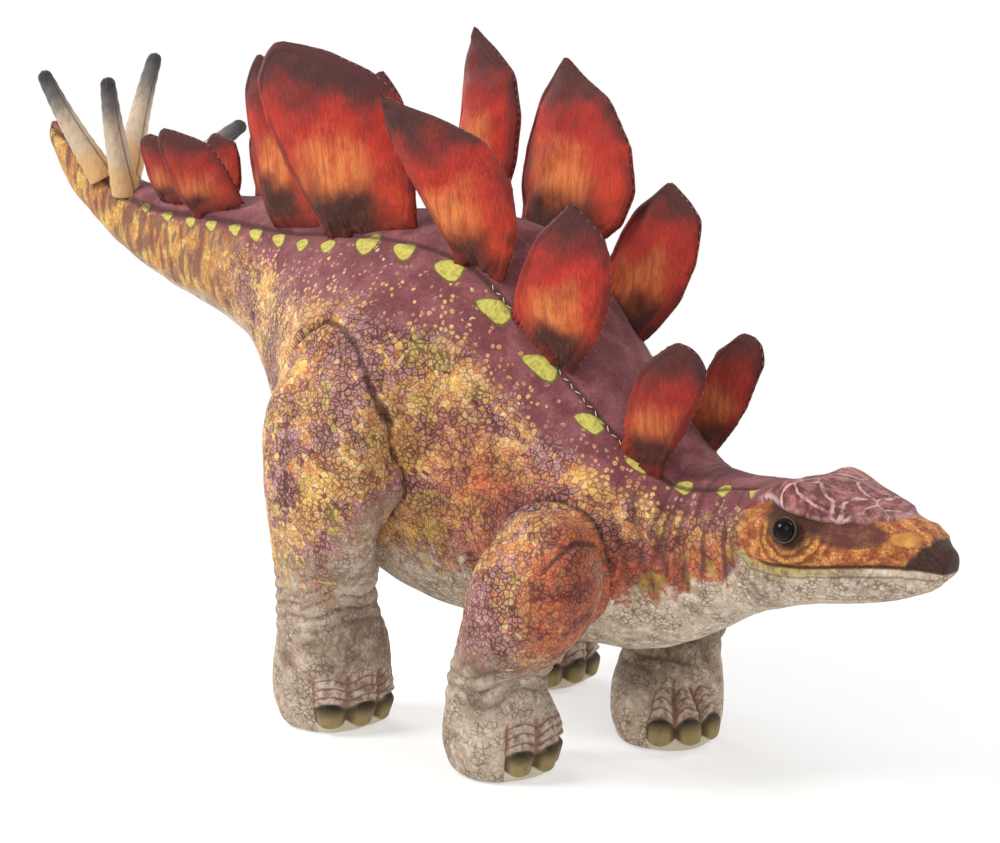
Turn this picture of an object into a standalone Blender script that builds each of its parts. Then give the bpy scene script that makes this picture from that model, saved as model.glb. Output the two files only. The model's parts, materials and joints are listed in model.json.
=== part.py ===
"""A stegosaurus soft toy: sewn covers over stuffing, sewn-on back plates and tail spikes, safety eyes.

Frame: +X towards the nose, +Y to the toy's left, +Z up. The origin is on the ground, under the
middle of the bounding box. Units are metres. "Right" is the -Y side.
"""

import math

import bmesh
import bpy
import numpy as np
from mathutils import Matrix, Vector

# ---------------------------------------------------------------- driving dimensions
COVER = 0.0013  # thickness of a fabric cover with its pile
GAP = 0.0006  # half the space left between two neighbouring panels
STUFFING_INSET = 0.0034  # from a cover's outer face to the stuffing
NOSE_X = 0.2015
TAIL_TIP_X = -0.2015

# The trunk from tail tip to nose: x, top, bottom, half width, half width of the top gusset
TRUNK = (
    (-0.2015, 0.1870, 0.1790, 0.0030, 0.0010),
    (-0.1950, 0.1860, 0.1690, 0.0055, 0.0030),
    (-0.1880, 0.1815, 0.1610, 0.0068, 0.0042),
    (-0.1730, 0.1740, 0.1510, 0.0086, 0.0060),
    (-0.1550, 0.1680, 0.1420, 0.0108, 0.0078),
    (-0.1300, 0.1650, 0.1325, 0.0145, 0.0105),
    (-0.1050, 0.1660, 0.1255, 0.0190, 0.0130),
    (-0.0780, 0.1665, 0.1170, 0.0240, 0.0165),
    (-0.0550, 0.1660, 0.0980, 0.0310, 0.0200),
    (-0.0350, 0.1665, 0.0680, 0.0390, 0.0220),
    (-0.0120, 0.1680, 0.0460, 0.0438, 0.0235),
    (0.0120, 0.1690, 0.0400, 0.0443, 0.0235),
    (0.0350, 0.1660, 0.0375, 0.0418, 0.0245),
    (0.0550, 0.1510, 0.0360, 0.0378, 0.0240),
    (0.0750, 0.1320, 0.0360, 0.0322, 0.0220),
    (0.0980, 0.1080, 0.0395, 0.0252, 0.0175),
    (0.1150, 0.0978, 0.0465, 0.0208, 0.0145),
    (0.1340, 0.0975, 0.0555, 0.0195, 0.0140),
    (0.1450, 0.0985, 0.0605, 0.0218, 0.0150),
    (0.1570, 0.1030, 0.0635, 0.0236, 0.0160),
    (0.1680, 0.0995, 0.0655, 0.0208, 0.0120),
    (0.1800, 0.0955, 0.0680, 0.0166, 0.0075),
    (0.1900, 0.0930, 0.0710, 0.0126, 0.0035),
    (0.1970, 0.0895, 0.0750, 0.0080, 0.0006),
    (0.2015, 0.0840, 0.0790, 0.0024, 0.0004),
)
WIDEST_AT = 0.46  # height of a section's widest point, as a share of the section's height
SECTION_POWER = 2.3  # 2 is an ellipse, more is squarer
BELLY_SHARE = 0.55  # half width of the belly panel over the section's half width

# Soft flex lines: a cylinder round the joint's axis parts the two covers
NECK_TURN = {"x": 0.098, "z": 0.074, "radius": 0.0262, "axis": "Z", "toward": -1}
HEAD_NOD = {"x": 0.134, "z": 0.0765, "radius": 0.0222, "axis": "Y", "toward": -1}
TAIL_SWING = {"x": -0.078, "z": 0.140, "radius": 0.0255, "axis": "Z", "toward": 1}
TIP_BEND = {"x": -0.134, "z": 0.149, "radius": 0.0170, "axis": "Y", "toward": 1}
FLEX_GAP = 0.0013  # radial space between a socket and the end that turns in it

# Legs, as sections up the leg: z, x, half length, outer |y|, inner |y|
HIND_LEG = (
    (0.0024, -0.0160, 0.0172, 0.0540, 0.0190),
    (0.0090, -0.0156, 0.0186, 0.0552, 0.0182),
    (0.0180, -0.0150, 0.0188, 0.0558, 0.0186),
    (0.0340, -0.0105, 0.0178, 0.0575, 0.0225),
    (0.0500, -0.0070, 0.0182, 0.0608, 0.0325),
    (0.0640, -0.0010, 0.0220, 0.0640, 0.0430),
    (0.0800, 0.0010, 0.0252, 0.0660, 0.0452),
    (0.0980, 0.0015, 0.0265, 0.0665, 0.0452),
    (0.1150, 0.0020, 0.0250, 0.0648, 0.0452),
    (0.1300, 0.0025, 0.0205, 0.0585, 0.0452),
    (0.1420, 0.0025, 0.0118, 0.0510, 0.0452),
)
FRONT_LEG = (
    (0.0024, 0.0610, 0.0168, 0.0545, 0.0205),
    (0.0090, 0.0612, 0.0180, 0.0556, 0.0196),
    (0.0180, 0.0622, 0.0174, 0.0556, 0.0206),
    (0.0280, 0.0640, 0.0160, 0.0562, 0.0250),
    (0.0360, 0.0685, 0.0165, 0.0582, 0.0305),
    (0.0440, 0.0750, 0.0185, 0.0610, 0.0345),
    (0.0560, 0.0815, 0.0208, 0.0632, 0.0378),
    (0.0660, 0.0845, 0.0212, 0.0626, 0.0392),
    (0.0760, 0.0862, 0.0185, 0.0590, 0.0392),
    (0.0840, 0.0868, 0.0112, 0.0525, 0.0392),
)
LEG_POWER = 2.4
LEG_RING = 14
SOLE_THICKNESS = 0.0020
STUFFING_LIFT = 0.0008  # from the sole panel to the stuffing above it
HIP = {"x": -0.006, "z": 0.100}
SHOULDER = {"x": 0.078, "z": 0.070}
# How far each foot stands from its leg's plain sections, fading out up the leg: dx, outward dy, top of fade
FOOT_STEP = {
    "front_right": (0.0, 0.0, 0.040),
    "front_left": (0.0180, -0.0145, 0.046),
    "hind_right": (0.0, 0.0, 0.070),
    "hind_left": (0.0180, 0.0113, 0.070),
}
FOOT_TURN = {"front_right": -20.0, "front_left": 12.0, "hind_right": 0.0, "hind_left": 0.0}

# Plates, from the neck to the tail: base rear x, base front x, widest rear, tip, widest front as x, z
PLATES = {
    "right": (
        (0.094, 0.106, (0.0975, 0.1210), (0.1115, 0.1390), (0.1250, 0.1280)),
        (0.059, 0.075, (0.0575, 0.1510), (0.0790, 0.1790), (0.0925, 0.1520)),
        (0.033, 0.049, (0.0140, 0.1880), (0.0055, 0.2095), (0.0510, 0.1860)),
        (-0.026, 0.009, (-0.0480, 0.2020), (-0.0400, 0.2240), (0.0045, 0.2070)),
        (-0.058, -0.034, (-0.0670, 0.1980), (-0.0615, 0.2175), (-0.0400, 0.1980)),
        (-0.105, -0.081, (-0.1155, 0.1790), (-0.1155, 0.1910), (-0.0960, 0.1840)),
        (-0.127, -0.110, (-0.1325, 0.1780), (-0.1290, 0.1880), (-0.1140, 0.1780)),
    ),
    "left": (
        (0.090, 0.103, (0.0940, 0.1190), (0.1095, 0.1375), (0.1215, 0.1280)),
        (0.052, 0.070, (0.0510, 0.1560), (0.0750, 0.1810), (0.0910, 0.1590)),
        (0.016, 0.045, (0.0065, 0.1800), (0.0240, 0.2180), (0.0660, 0.1810)),
        (-0.020, 0.006, (-0.0190, 0.1980), (-0.0190, 0.2268), (0.0110, 0.2010)),
        (-0.060, -0.036, (-0.0680, 0.1900), (-0.0500, 0.2105), (-0.0370, 0.1900)),
        (-0.104, -0.080, (-0.1170, 0.1770), (-0.1160, 0.1880), (-0.0930, 0.1820)),
        (-0.126, -0.111, (-0.1330, 0.1770), (-0.1300, 0.1860), (-0.1150, 0.1770)),
    ),
}
PLATE_LEAN = (4.0, 5.0, 6.5, 7.0, 2.5, 9.0, 11.0)  # outward, in degrees
PLATE_TURN = (8.0, 8.0, 12.0, 10.0, 4.0, 10.0, 2.0)  # rear edge outward, in degrees
PLATE_PUFF = 0.078  # half thickness over the plate's height
PLATE_PUFF_LIMITS = (0.0026, 0.0044)
PLATE_RIM = 0.0009
PLATE_LIFT = 0.0022  # from the back to the plate's lower edge
EDGE_STEPS = 5

# Tail spikes: base x, tip as x, |y|, z
SPIKES = {
    "rear_right": (-0.166, (-0.1790, 0.022, 0.2065)),
    "rear_left": (-0.166, (-0.1700, 0.024, 0.2115)),
    "front_right": (-0.151, (-0.1446, 0.020, 0.2055)),
    "front_left": (-0.147, (-0.1350, 0.036, 0.1870)),
}
SPIKE_RADIUS = 0.0050
SPIKE_TIP_RADIUS = 0.0030
SPIKE_LIFT = 0.0033
SPIKE_SEGMENTS = 10

EYE = {"x": 0.1590, "rise": 0.30, "radius": 0.0045, "dome": 0.0034}
EYE_SEAT = 0.0009  # from the cover's surface to the back of the domed head
STEM_RADIUS = 0.0014
STEM_LENGTH = 0.0085
WASHER_RADIUS = 0.0042
WASHER_THICKNESS = 0.0012
WASHER_SET_BACK = 0.0024  # the curved cover needs room behind it for the flat washer
FIT = 0.0003

MAUVE = (0.20, 0.09, 0.11)
SCALES = (0.52, 0.30, 0.12)
PALE = (0.62, 0.52, 0.42)
RED = (0.48, 0.06, 0.03)
SPIKE_GREY = (0.42, 0.39, 0.34)
BLACK = (0.01, 0.008, 0.008)
WADDING = (0.85, 0.85, 0.82)
WASHER_WHITE = (0.75, 0.75, 0.72)


# ---------------------------------------------------------------- scene and materials
def clear_scene():
    for obj in list(bpy.data.objects):
        bpy.data.objects.remove(obj, do_unlink=True)


def new_collection(name):
    group = bpy.data.collections.new(name)
    bpy.context.scene.collection.children.link(group)
    return group


def material(name, colour, roughness, metallic=0.0):
    made = bpy.data.materials.new(name)
    made.use_nodes = True
    shader = made.node_tree.nodes["Principled BSDF"]
    shader.inputs["Base Color"].default_value = (*colour, 1.0)
    shader.inputs["Roughness"].default_value = roughness
    shader.inputs["Metallic"].default_value = metallic
    made.diffuse_color = (*colour, 1.0)
    return made


clear_scene()
TOY = new_collection("stegosaurus_soft_toy")
CUTTERS = new_collection("cutters")


# ---------------------------------------------------------------- bodies
def joint_empty(body, place, parent=None):
    """An empty on the body's joint axis, which the body's pieces are parented to."""
    empty = bpy.data.objects.new("joint_" + body, None)
    empty.empty_display_size = 0.01
    TOY.objects.link(empty)
    if parent is not None:
        empty.parent = parent
        empty.location = Vector(place) - parent.matrix_world.translation
    else:
        empty.location = place
    bpy.context.view_layer.update()
    return empty


def piece(name, points, faces, colour, holder, roughness=0.9):
    """A mesh object made from points in the toy's frame, with its origin on the holder's joint axis."""
    origin = holder.matrix_world.translation
    mesh = bpy.data.meshes.new(name)
    mesh.from_pydata([Vector(p) - origin for p in points], [], faces)
    mesh.materials.append(material(name, colour, roughness))
    mesh.shade_smooth()
    obj = bpy.data.objects.new(name, mesh)
    TOY.objects.link(obj)
    obj.parent = holder
    return obj


def add_wall(obj, thickness=COVER):
    """Turns an outward-facing sheet into a fabric wall that grows inwards."""
    wall = obj.modifiers.new("wall", "SOLIDIFY")
    wall.thickness = thickness
    wall.offset = -1.0
    wall.use_rim = True
    return obj


def shrink(obj, distance):
    """Moves a closed surface inwards along its normals."""
    inset = obj.modifiers.new("inset", "DISPLACE")
    inset.mid_level = 0.0
    inset.strength = -distance
    return obj


# ---------------------------------------------------------------- the trunk's surface
def smooth_curve(xs, values):
    """A monotone cubic through the stations, so that no section bulges between them."""
    xs = np.array(xs)
    values = np.array(values)
    slopes = np.diff(values) / np.diff(xs)
    tangents = np.zeros(len(xs))
    tangents[0] = slopes[0]
    tangents[-1] = slopes[-1]
    for i in range(1, len(xs) - 1):
        if slopes[i - 1] * slopes[i] > 0:
            tangents[i] = 2 * slopes[i - 1] * slopes[i] / (slopes[i - 1] + slopes[i])

    def value(x):
        x = min(max(x, xs[0]), xs[-1])
        i = min(int(np.searchsorted(xs, x, side="right")) - 1, len(xs) - 2)
        span = xs[i + 1] - xs[i]
        t = (x - xs[i]) / span
        return (
            (2 * t**3 - 3 * t**2 + 1) * values[i]
            + (t**3 - 2 * t**2 + t) * span * tangents[i]
            + (3 * t**2 - 2 * t**3) * values[i + 1]
            + (t**3 - t**2) * span * tangents[i + 1]
        )

    return value


STATION_X = [row[0] for row in TRUNK]
top_at, bottom_at, width_at, gusset_at = (
    smooth_curve(STATION_X, [row[k] for row in TRUNK]) for k in range(1, 5)
)


def trunk_point(x, angle):
    """A point on the trunk. The angle runs from +Y (0) over the top (90 degrees) to -Y (180)."""
    top, bottom, width = top_at(x), bottom_at(x), width_at(x)
    middle = bottom + WIDEST_AT * (top - bottom)
    side, up = math.cos(angle), math.sin(angle)
    y = width * math.copysign(abs(side) ** (2 / SECTION_POWER), side)
    height = (top - middle) if up > 0 else (middle - bottom)
    z = middle + height * math.copysign(abs(up) ** (2 / SECTION_POWER), up)
    return Vector((x, y, z))


def edge_angle(x, half_width):
    """The angle above the widest point where the section is half_width wide."""
    share = min(half_width / width_at(x), 0.98)
    return math.acos(share ** (SECTION_POWER / 2))


def panel_edges(x, panel):
    """Start and end angle of a panel at x, before the gaps to its neighbours."""
    gusset = edge_angle(x, gusset_at(x))
    belly = edge_angle(x, BELLY_SHARE * width_at(x))
    return {
        "left": (-belly, gusset),
        "top": (gusset, math.pi - gusset),
        "right": (math.pi - gusset, math.pi + belly),
        "bottom": (math.pi + belly, 2 * math.pi - belly),
    }[panel]


def panel_angle(x, panel, share):
    start, end = panel_edges(x, panel)
    middle = 0.5 * (start + end)
    length = (trunk_point(x, middle) - trunk_point(x, start)).length
    length += (trunk_point(x, end) - trunk_point(x, middle)).length
    margin = min(GAP / max(length, GAP), 0.25) * (end - start)
    return start + margin + share * (end - start - 2 * margin)


def flex_distance(point, flex):
    """Distance from a joint's axis, in the plane the joint turns in."""
    if flex["axis"] == "Z":
        return math.hypot(point.x - flex["x"], point.y)
    return math.hypot(point.x - flex["x"], point.z - flex["z"])


def flex_x(line, flex, radius):
    """Where a line of points along the trunk meets the flex cylinder, on its side towards the body."""
    far = flex["x"] + flex["toward"] * radius
    near = flex["x"]
    for _ in range(40):
        middle = 0.5 * (far + near)
        if flex_distance(line(middle), flex) > radius:
            far = middle
        else:
            near = middle
    return 0.5 * (far + near)


def end_x(line, end):
    """An end is a plain x, or a flex line with its radius."""
    if isinstance(end, tuple):
        return flex_x(line, *end)
    return end


def socket(flex):
    return (flex, flex["radius"] + FLEX_GAP)


def ball(flex):
    return (flex, flex["radius"])


def grid_faces(rows, columns):
    """Quads over a grid of points whose columns turn anticlockwise about the rows' direction."""
    return [
        (
            i * columns + j,
            i * columns + j + 1,
            (i + 1) * columns + j + 1,
            (i + 1) * columns + j,
        )
        for i in range(rows - 1)
        for j in range(columns - 1)
    ]


def trunk_panel(name, panel, rear, front, rows, columns, colour, holder):
    """One fabric panel of the trunk between two ends, as a wall."""
    lines = [
        lambda x, share=j / (columns - 1): trunk_point(x, panel_angle(x, panel, share))
        for j in range(columns)
    ]
    reach = [(end_x(line, rear), end_x(line, front)) for line in lines]
    points = [
        line(start + (stop - start) * i / (rows - 1))
        for i in range(rows)
        for line, (start, stop) in zip(lines, reach)
    ]
    return add_wall(piece(name, points, grid_faces(rows, columns), colour, holder))


def trunk_sleeve(name, rear, front, rows, columns, colour, holder):
    """A closed-end sleeve round the whole trunk, such as the tail's tip."""
    lines = [
        lambda x, angle=2 * math.pi * j / columns: trunk_point(x, angle)
        for j in range(columns)
    ]
    reach = [(end_x(line, rear), end_x(line, front)) for line in lines]
    points = [
        line(start + (stop - start) * i / (rows - 1))
        for i in range(rows)
        for line, (start, stop) in zip(lines, reach)
    ]
    faces = ring_faces(rows, columns)
    faces.append(tuple(reversed(range(columns))))
    return add_wall(piece(name, points, faces, colour, holder))


def ring_faces(rows, columns):
    """As grid_faces, with the last column joined to the first."""
    return [
        (
            i * columns + j,
            i * columns + (j + 1) % columns,
            (i + 1) * columns + (j + 1) % columns,
            (i + 1) * columns + j,
        )
        for i in range(rows - 1)
        for j in range(columns)
    ]


def trunk_stuffing(name, rear, front, rows, columns, holder):
    """The stuffing of a stretch of the trunk: a closed form just inside the covers."""
    points = [
        trunk_point(rear + (front - rear) * i / (rows - 1), 2 * math.pi * j / columns)
        for i in range(rows)
        for j in range(columns)
    ]
    last = (rows - 1) * columns
    faces = ring_faces(rows, columns)
    faces.append(tuple(reversed(range(columns))))
    faces.append(tuple(last + j for j in range(columns)))
    return shrink(piece(name, points, faces, WADDING, holder, 1.0), STUFFING_INSET)


def cut(obj, cutter):
    """Takes the cutter's shape out of an object."""
    cutter.hide_render = True
    cutter.display_type = "WIRE"
    hole = obj.modifiers.new("cut", "BOOLEAN")
    hole.operation = "DIFFERENCE"
    hole.solver = "EXACT"
    hole.object = cutter


# ---------------------------------------------------------------- torso, neck, tail
def make_torso(holder):
    rear, front = socket(TAIL_SWING), socket(NECK_TURN)
    trunk_panel("torso_side_right", "right", rear, front, 12, 9, SCALES, holder)
    trunk_panel("torso_side_left", "left", rear, front, 12, 9, SCALES, holder)
    trunk_panel("back_gusset", "top", rear, front, 12, 5, MAUVE, holder)
    trunk_panel("belly_panel", "bottom", rear, front, 12, 5, PALE, holder)
    start = TAIL_SWING["x"] + TAIL_SWING["radius"] + FLEX_GAP
    stop = NECK_TURN["x"] - NECK_TURN["radius"] - FLEX_GAP
    trunk_stuffing("torso_stuffing", start, stop, 11, 20, holder)


def make_neck(holder):
    rear, front = ball(NECK_TURN), socket(HEAD_NOD)
    trunk_panel("neck_side_right", "right", rear, front, 4, 7, SCALES, holder)
    trunk_panel("neck_side_left", "left", rear, front, 4, 7, SCALES, holder)
    trunk_panel("nape_panel", "top", rear, front, 5, 4, MAUVE, holder)
    trunk_panel("throat_panel", "bottom", rear, front, 5, 4, PALE, holder)
    start = NECK_TURN["x"] + 0.1 * NECK_TURN["radius"]
    stop = HEAD_NOD["x"] - HEAD_NOD["radius"] - FLEX_GAP
    trunk_stuffing("neck_stuffing", start, stop, 3, 16, holder)


def make_tail(holder):
    rear, front = socket(TIP_BEND), ball(TAIL_SWING)
    trunk_panel("tail_side_right", "right", rear, front, 6, 6, SCALES, holder)
    trunk_panel("tail_side_left", "left", rear, front, 6, 6, SCALES, holder)
    trunk_panel("tail_top", "top", rear, front, 7, 4, MAUVE, holder)
    trunk_panel("tail_underside", "bottom", rear, front, 6, 4, PALE, holder)
    start = TIP_BEND["x"] + TIP_BEND["radius"] + FLEX_GAP
    stop = TAIL_SWING["x"]
    trunk_stuffing("tail_stuffing", start, stop, 4, 14, holder)


def make_tail_tip(holder):
    trunk_sleeve("tail_tip_cover", TAIL_TIP_X, ball(TIP_BEND), 6, 12, SCALES, holder)
    stop = TIP_BEND["x"] + 0.3 * TIP_BEND["radius"]
    trunk_stuffing("tail_tip_stuffing", TAIL_TIP_X + 0.015, stop, 5, 10, holder)


# ---------------------------------------------------------------- head and eyes
def eye_place(side):
    """The middle of the eye on the head's surface, and the way the eye looks out."""
    angle = math.asin(EYE["rise"])
    if side < 0:
        angle = math.pi - angle
    point = trunk_point(EYE["x"], angle)
    step = 0.001
    along = trunk_point(EYE["x"] + step, angle) - trunk_point(EYE["x"] - step, angle)
    round_ = trunk_point(EYE["x"], angle + step) - trunk_point(EYE["x"], angle - step)
    out = along.cross(round_)
    if out.y * side < 0:
        out.negate()
    return point, out.normalized()


def turned(name, profile, colour, holder, place, direction, steps, roughness):
    """A profile (radius, height), rising on its outer side, turned round a direction from place."""
    mesh = bpy.data.meshes.new(name)
    mesh.from_pydata(
        [(r, 0.0, h) for r, h in reversed(profile)],
        [(i, i + 1) for i in range(len(profile) - 1)],
        [],
    )
    mesh.materials.append(material(name, colour, roughness))
    obj = bpy.data.objects.new(name, mesh)
    TOY.objects.link(obj)
    spin = obj.modifiers.new("turn", "SCREW")
    spin.steps = steps
    spin.render_steps = steps
    spin.use_merge_vertices = True
    spin.merge_threshold = 0.00005
    spin.use_smooth_shade = True
    obj.parent = holder
    turn = direction.to_track_quat("Z", "Y").to_matrix().to_4x4()
    local = Matrix.Translation(place - holder.matrix_world.translation) @ turn
    obj.matrix_local = local
    return obj


def cylinder_cutter(name, place, direction, radius, start, stop, segments):
    """A cylinder cutter from start to stop along direction, measured from place."""
    mesh = bpy.data.meshes.new(name)
    shape = bmesh.new()
    bmesh.ops.create_cone(
        shape,
        cap_ends=True,
        segments=segments,
        radius1=radius,
        radius2=radius,
        depth=stop - start,
    )
    shape.to_mesh(mesh)
    shape.free()
    cutter = bpy.data.objects.new(name, mesh)
    CUTTERS.objects.link(cutter)
    turn = direction.to_track_quat("Z", "Y").to_matrix().to_4x4()
    middle = place + direction * (0.5 * (start + stop))
    cutter.matrix_world = Matrix.Translation(middle) @ turn
    return cutter


def make_eye(label, side, panel, stuffing, holder):
    """A safety eye: domed head outside, stem through the cover, lock washer inside."""
    place, out = eye_place(side)
    seat = EYE_SEAT
    radius, dome = EYE["radius"], EYE["dome"]
    domed = [
        (radius * math.cos(a), seat + dome * math.sin(a))
        for a in np.radians((15, 35, 55, 75))
    ]
    profile = [(0.0, -STEM_LENGTH), (STEM_RADIUS, -STEM_LENGTH), (STEM_RADIUS, seat)]
    profile += [(radius, seat)] + domed + [(0.0, seat + dome)]
    turned("eye_" + label, profile, BLACK, holder, place, out, 16, 0.05)

    inner, outer = STEM_RADIUS + FIT, WASHER_RADIUS
    low = -COVER - WASHER_SET_BACK - WASHER_THICKNESS
    high = low + WASHER_THICKNESS
    turned(
        "eye_washer_" + label,
        [(inner, low), (outer, low), (outer, high), (inner, high), (inner, low)],
        WASHER_WHITE,
        holder,
        place,
        out,
        16,
        0.4,
    )

    hole = cylinder_cutter(
        "eye_hole_" + label, place, out, STEM_RADIUS + FIT, -0.006, 0.003, 12
    )
    cut(panel, hole)
    pocket = cylinder_cutter(
        "eye_pocket_" + label, place, out, WASHER_RADIUS + 0.0012, -0.011, 0.003, 12
    )
    cut(stuffing, pocket)


def make_head(holder):
    rear = ball(HEAD_NOD)
    right = trunk_panel("head_side_right", "right", rear, NOSE_X, 11, 7, SCALES, holder)
    left = trunk_panel("head_side_left", "left", rear, NOSE_X, 11, 7, SCALES, holder)
    trunk_panel("head_crown", "top", rear, 0.193, 9, 5, MAUVE, holder)
    trunk_panel("chin_panel", "bottom", rear, 0.193, 8, 5, PALE, holder)
    start = HEAD_NOD["x"] - 0.3 * HEAD_NOD["radius"]
    stuffing = trunk_stuffing("head_stuffing", start, 0.194, 8, 16, holder)
    make_eye("right", -1, right, stuffing, holder)
    make_eye("left", 1, left, stuffing, holder)


# ---------------------------------------------------------------- legs
def leg_ring(section, side, step, turn, inset=0.0):
    """One horizontal section of a leg, as points round it."""
    z, x, half, outer, inner = section
    dx, dy, fade_top = step
    share = max(0.0, 1.0 - z / fade_top)
    share = share * share * (3 - 2 * share)
    centre = 0.5 * (outer + inner) + dy * share
    width = 0.5 * (outer - inner) - inset
    length = half - inset
    spin = math.radians(turn) * share
    ring = []
    for k in range(LEG_RING):
        angle = 2 * math.pi * k / LEG_RING
        ca, sa = math.cos(angle), math.sin(angle)
        along = length * math.copysign(abs(ca) ** (2 / LEG_POWER), ca)
        across = width * math.copysign(abs(sa) ** (2 / LEG_POWER), sa)
        px = along * math.cos(spin) - across * math.sin(spin)
        py = along * math.sin(spin) + across * math.cos(spin)
        ring.append(Vector((x + dx * share + px, side * (centre + py), z)))
    return ring if side > 0 else ring[::-1]


def make_leg(label, holder):
    """A leg: sleeve closed at the top, sole panel under the foot, stuffing inside."""
    side = 1 if label.endswith("left") else -1
    sections = FRONT_LEG if label.startswith("front") else HIND_LEG
    step, turn = FOOT_STEP[label], side * FOOT_TURN[label]
    rings = [leg_ring(s, side, step, turn) for s in sections]
    count = len(rings)
    points = [p for ring in rings for p in ring]
    last = (count - 1) * LEG_RING
    sides = ring_faces(count, LEG_RING)
    top = tuple(last + k for k in range(LEG_RING))
    add_wall(piece("leg_" + label + "_cover", points, sides + [top], SCALES, holder))

    stuffing_rings = [leg_ring(s, side, step, turn, STUFFING_INSET) for s in sections]
    for p in stuffing_rings[0]:
        p.z += STUFFING_LIFT
    for p in stuffing_rings[-1]:
        p.z -= STUFFING_INSET
    bottom = tuple(reversed(range(LEG_RING)))
    points = [p for ring in stuffing_rings for p in ring]
    piece(
        "leg_" + label + "_stuffing",
        points,
        sides + [top, bottom],
        WADDING,
        holder,
        1.0,
    )

    sole_points = []
    for z in (0.0, SOLE_THICKNESS):
        for p in rings[0]:
            sole_points.append(Vector((p.x, p.y, z)))
    sole_faces = ring_faces(2, LEG_RING)
    sole_faces.append(tuple(LEG_RING + k for k in range(LEG_RING)))
    sole_faces.append(bottom)
    piece("leg_" + label + "_sole", sole_points, sole_faces, PALE, holder)


# ---------------------------------------------------------------- plates
def back_height(x, y):
    """Height of the trunk's upper surface at a place off its middle line."""
    top, bottom = top_at(x), bottom_at(x)
    middle = bottom + WIDEST_AT * (top - bottom)
    share = min(abs(y) / width_at(x), 0.98)
    return middle + (top - middle) * (1 - share**SECTION_POWER) ** (1 / SECTION_POWER)


def seam_line(row, side, turn):
    """Base corners' x, and y as a function of x along a plate's turned plane."""
    rear_x, front_x = row[:2]
    middle = 0.5 * (rear_x + front_x)
    slope = math.tan(math.radians(turn))

    def y_at(x):
        return side * (gusset_at(middle) - slope * (x - middle))

    return rear_x, front_x, y_at


def bent_edge(start, middle, end, steps):
    """Points from start to end along a curve that passes through the middle point."""
    control = 2 * middle - 0.5 * (start + end)
    return [
        (1 - t) ** 2 * start + 2 * t * (1 - t) * control + t**2 * end
        for t in (k / steps for k in range(steps))
    ]


def plate_outline(row, side, turn):
    """The plate's edge, from the base's rear corner over the tip and back along the base."""
    rear_x, front_x, y_at = seam_line(row, side, turn)

    def base_point(x):
        return Vector((x, y_at(x), back_height(x, y_at(x)) + PLATE_LIFT))

    rear_bulge, top, front_bulge = (Vector((x, y_at(x), z)) for x, z in row[2:])
    edge = bent_edge(base_point(rear_x), rear_bulge, top, EDGE_STEPS)
    edge += bent_edge(top, front_bulge, base_point(front_x), EDGE_STEPS)
    base = [base_point(front_x + (rear_x - front_x) * k / 4) for k in range(4)]
    return edge + base


def make_plate(label, number, holder, row, side):
    """A padded plate: two faces sewn round the edge, thickest in the middle."""
    outline = plate_outline(row, side, PLATE_TURN[number])
    count = len(outline)
    centre = sum(outline, Vector()) / count
    height = max(p.z for p in outline) - holder.matrix_world.translation.z
    low, high = PLATE_PUFF_LIMITS
    puff = min(max(PLATE_PUFF * height, low), high)
    rings = ((1.0, PLATE_RIM), (0.80, 0.62 * puff), (0.45, 0.95 * puff))
    points = []
    for face in (-1, 1):
        for share, depth in rings:
            for p in outline:
                inner = centre + (p - centre) * share
                points.append(Vector((inner.x, inner.y + face * depth, inner.z)))
        points.append(Vector((centre.x, centre.y + face * puff, centre.z)))
    block = 3 * count + 1
    faces = []
    for k in range(count):
        n = (k + 1) % count
        for r in range(2):
            a, b = r * count + k, r * count + n
            faces.append((a, b, b + count, a + count))
            faces.append((block + a, block + a + count, block + b + count, block + b))
        faces.append((2 * count + k, 2 * count + n, 3 * count))
        faces.append((block + 2 * count + n, block + 2 * count + k, block + 3 * count))
        faces.append((k, block + k, block + n, n))
    lean = Matrix.Rotation(math.radians(-side * PLATE_LEAN[number]), 3, "X")
    pivot = holder.matrix_world.translation
    points = [pivot + lean @ (p - pivot) for p in points]
    plate = piece(label, points, faces, RED, holder)
    face_out(plate)


def face_out(obj):
    shape = bmesh.new()
    shape.from_mesh(obj.data)
    bmesh.ops.recalc_face_normals(shape, faces=shape.faces)
    shape.to_mesh(obj.data)
    shape.free()


def plate_pivot(row, side, turn):
    """The middle of the plate's base, where its joint's axis runs along the seam."""
    rear_x, front_x, y_at = seam_line(row, side, turn)
    ends = [(x, y_at(x), back_height(x, y_at(x)) + PLATE_LIFT) for x in (rear_x, front_x)]
    return 0.5 * (Vector(ends[0]) + Vector(ends[1]))


# ---------------------------------------------------------------- spikes
def spike_base(x, side):
    angle = math.radians(52)
    if side < 0:
        angle = math.pi - angle
    return trunk_point(x, angle)


def make_spike(label, holder, base, tip):
    direction = (tip - base).normalized()
    length = (tip - base).length
    ball_steps = np.radians((0, 30, 60))
    profile = [(0.0, SPIKE_LIFT), (0.72 * SPIKE_RADIUS, SPIKE_LIFT)]
    profile += [(SPIKE_RADIUS, SPIKE_LIFT + 0.003), (0.9 * SPIKE_RADIUS, 0.55 * length)]
    profile += [
        (
            SPIKE_TIP_RADIUS * math.cos(a),
            length - SPIKE_TIP_RADIUS * (1 - math.sin(a)),
        )
        for a in ball_steps
    ]
    profile += [(0.0, length)]
    turned(label, profile, SPIKE_GREY, holder, base, direction, SPIKE_SEGMENTS, 0.9)


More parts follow.
